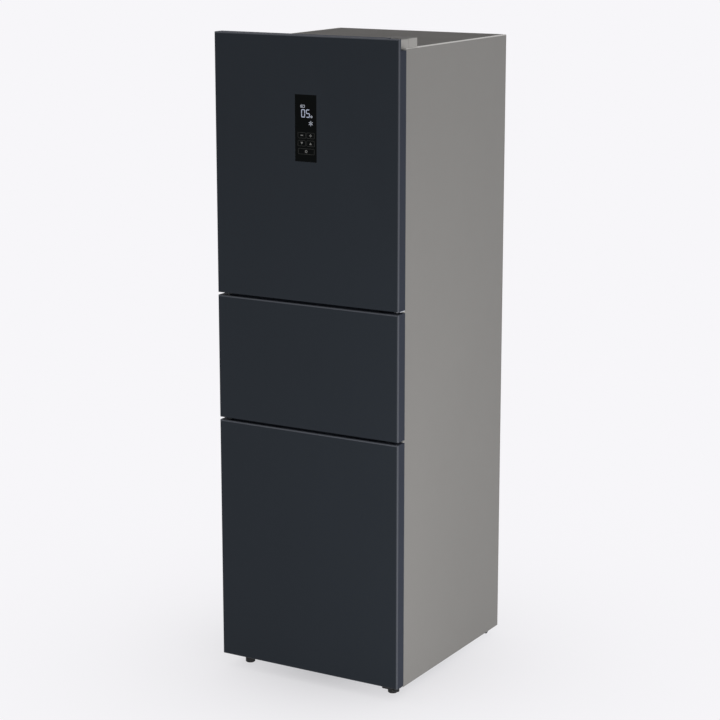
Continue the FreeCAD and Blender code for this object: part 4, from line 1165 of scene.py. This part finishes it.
@dataclass
class Studio:
    """Pale floor, soft light and the camera."""

    backdrop: Colour = srgb(247, 246, 249)
    floor_colour: Colour = srgb(243, 243, 244)
    floor_roughness: float = 0.8
    floor_specular: float = 0.1
    sky_light: float = 0.72
    floor_half: float = 30.0
    # Painted shade on the floor round the part: its centre in metres, its depth as a share and its reach in
    # metres.
    painted_shade_centre: Triple = (0.0, -0.1, 0.0)
    painted_shade_depth: float = 0.8
    painted_shade_reach: float = 0.32
    eye: Triple = (2.81066, -4.85265, 2.10851)
    aim: Triple = (-0.00006, -0.02747, 0.83552)
    lens: float = 105.91
    sensor: float = 36.0
    lamps: tuple[SoftBox, ...] = (
        SoftBox("right_box", (1.7, -1.45, 0.38), (0.26, -0.1, 0.36), 1.0, 0.7, 16.5),
        SoftBox("front_box", (0.7, -2.6, 0.4), (0.0, -0.3, 0.3), 1.8, 0.6, 10.5),
    )

    def build(self) -> None:
        """Set the floor, the light and the camera."""
        bpy.context.scene.view_settings.view_transform = "Standard"
        self.build_world()
        self.build_floor()
        for lamp in self.lamps:
            lamp.build()
        self.build_camera()

    def seen_directly(self, shader: ShaderTree) -> bpy.types.NodeSocket:
        """One for rays that show the backdrop itself, and nought for those that carry light."""
        path = shader.add("ShaderNodeLightPath")
        shown = shader.maths("MAXIMUM", path.outputs["Is Camera Ray"], path.outputs["Is Glossy Ray"])
        return shader.maths("MAXIMUM", shown, path.outputs["Is Transmission Ray"])

    def build_world(self) -> None:
        """A white surround that lights the scene at a plain level."""
        world = bpy.data.worlds.new("white_studio")
        shader = emptied(world)
        light = shader.add("ShaderNodeBackground")
        light.inputs["Strength"].default_value = self.sky_light
        shown = shader.add("ShaderNodeBackground")
        shown.inputs["Color"].default_value = (*self.backdrop, 1.0)
        mix = shader.add("ShaderNodeMixShader")
        shader.join(self.seen_directly(shader), mix.inputs[0])
        shader.join(light.outputs[0], mix.inputs[1])
        shader.join(shown.outputs[0], mix.inputs[2])
        shader.join(mix.outputs[0], shader.add("ShaderNodeOutputWorld").inputs["Surface"])
        bpy.context.scene.world = world

    def build_floor(self) -> None:
        """A pale floor that takes the shadow and fades into the backdrop."""
        half = self.floor_half
        data = bpy.data.meshes.new("studio_floor")
        corners = [(-half, -half, 0), (half, -half, 0), (half, half, 0), (-half, half, 0)]
        data.from_pydata(corners, [], [(0, 1, 2, 3)])
        floor = bpy.data.objects.new("studio_floor", data)
        bpy.context.scene.collection.objects.link(floor)
        data.materials.append(self.floor_material())

    def floor_material(self) -> bpy.types.Material:
        """Lit paint near the part, where it takes the real shadow and a painted shade that fades with
        distance, and the backdrop's colour far from it.
        """
        made = bpy.data.materials.new("floor_paint")
        shader = emptied(made)
        paint = shader.add("ShaderNodeBsdfPrincipled")
        paint.inputs["Base Color"].default_value = (*self.floor_colour, 1.0)
        paint.inputs["Roughness"].default_value = self.floor_roughness
        paint.inputs["Specular IOR Level"].default_value = self.floor_specular
        backdrop = shader.add("ShaderNodeEmission")
        backdrop.inputs["Color"].default_value = (*self.backdrop, 1.0)
        place = shader.add("ShaderNodeTexCoord")
        away = shader.add("ShaderNodeVectorMath", operation="DISTANCE")
        away.inputs[1].default_value = self.painted_shade_centre
        shader.join(place.outputs["Object"], away.inputs[0])
        # Painted shade: the backdrop's share falls off towards the shade centre, so the floor darkens round
        # the part's base as well as in its real shadow.
        fall = shader.maths("EXPONENT", shader.maths("DIVIDE", away.outputs["Value"], -self.painted_shade_reach))
        clear = shader.maths("SUBTRACT", 1.0, shader.maths("MULTIPLY", fall, self.painted_shade_depth))
        share = shader.maths("MULTIPLY", clear, self.seen_directly(shader))
        mix = shader.add("ShaderNodeMixShader")
        shader.join(share, mix.inputs[0])
        shader.join(paint.outputs[0], mix.inputs[1])
        shader.join(backdrop.outputs[0], mix.inputs[2])
        shader.join(mix.outputs[0], shader.add("ShaderNodeOutputMaterial").inputs["Surface"])
        return made

    def build_camera(self) -> None:
        """Stand the camera where the photograph was taken from."""
        data = bpy.data.cameras.new("front_right_camera")
        data.lens = self.lens
        data.sensor_width = self.sensor
        bpy.context.scene.camera = stand(data, self.eye, self.aim)


def main() -> None:
    """Dress the refrigerator piece by piece, then set the studio round it."""
    logging.basicConfig(level=logging.INFO, format="%(name)s: %(message)s")
    for name in ("lower", "middle", "upper"):
        Door(name).build()
    for assembly in (ControlPanel(), Cabinet(), Hinges(), Feet(), MachineBay(), ColdSide(), Storage()):
        assembly.build()
    Studio().build()


if __name__ == "__main__":
    main()
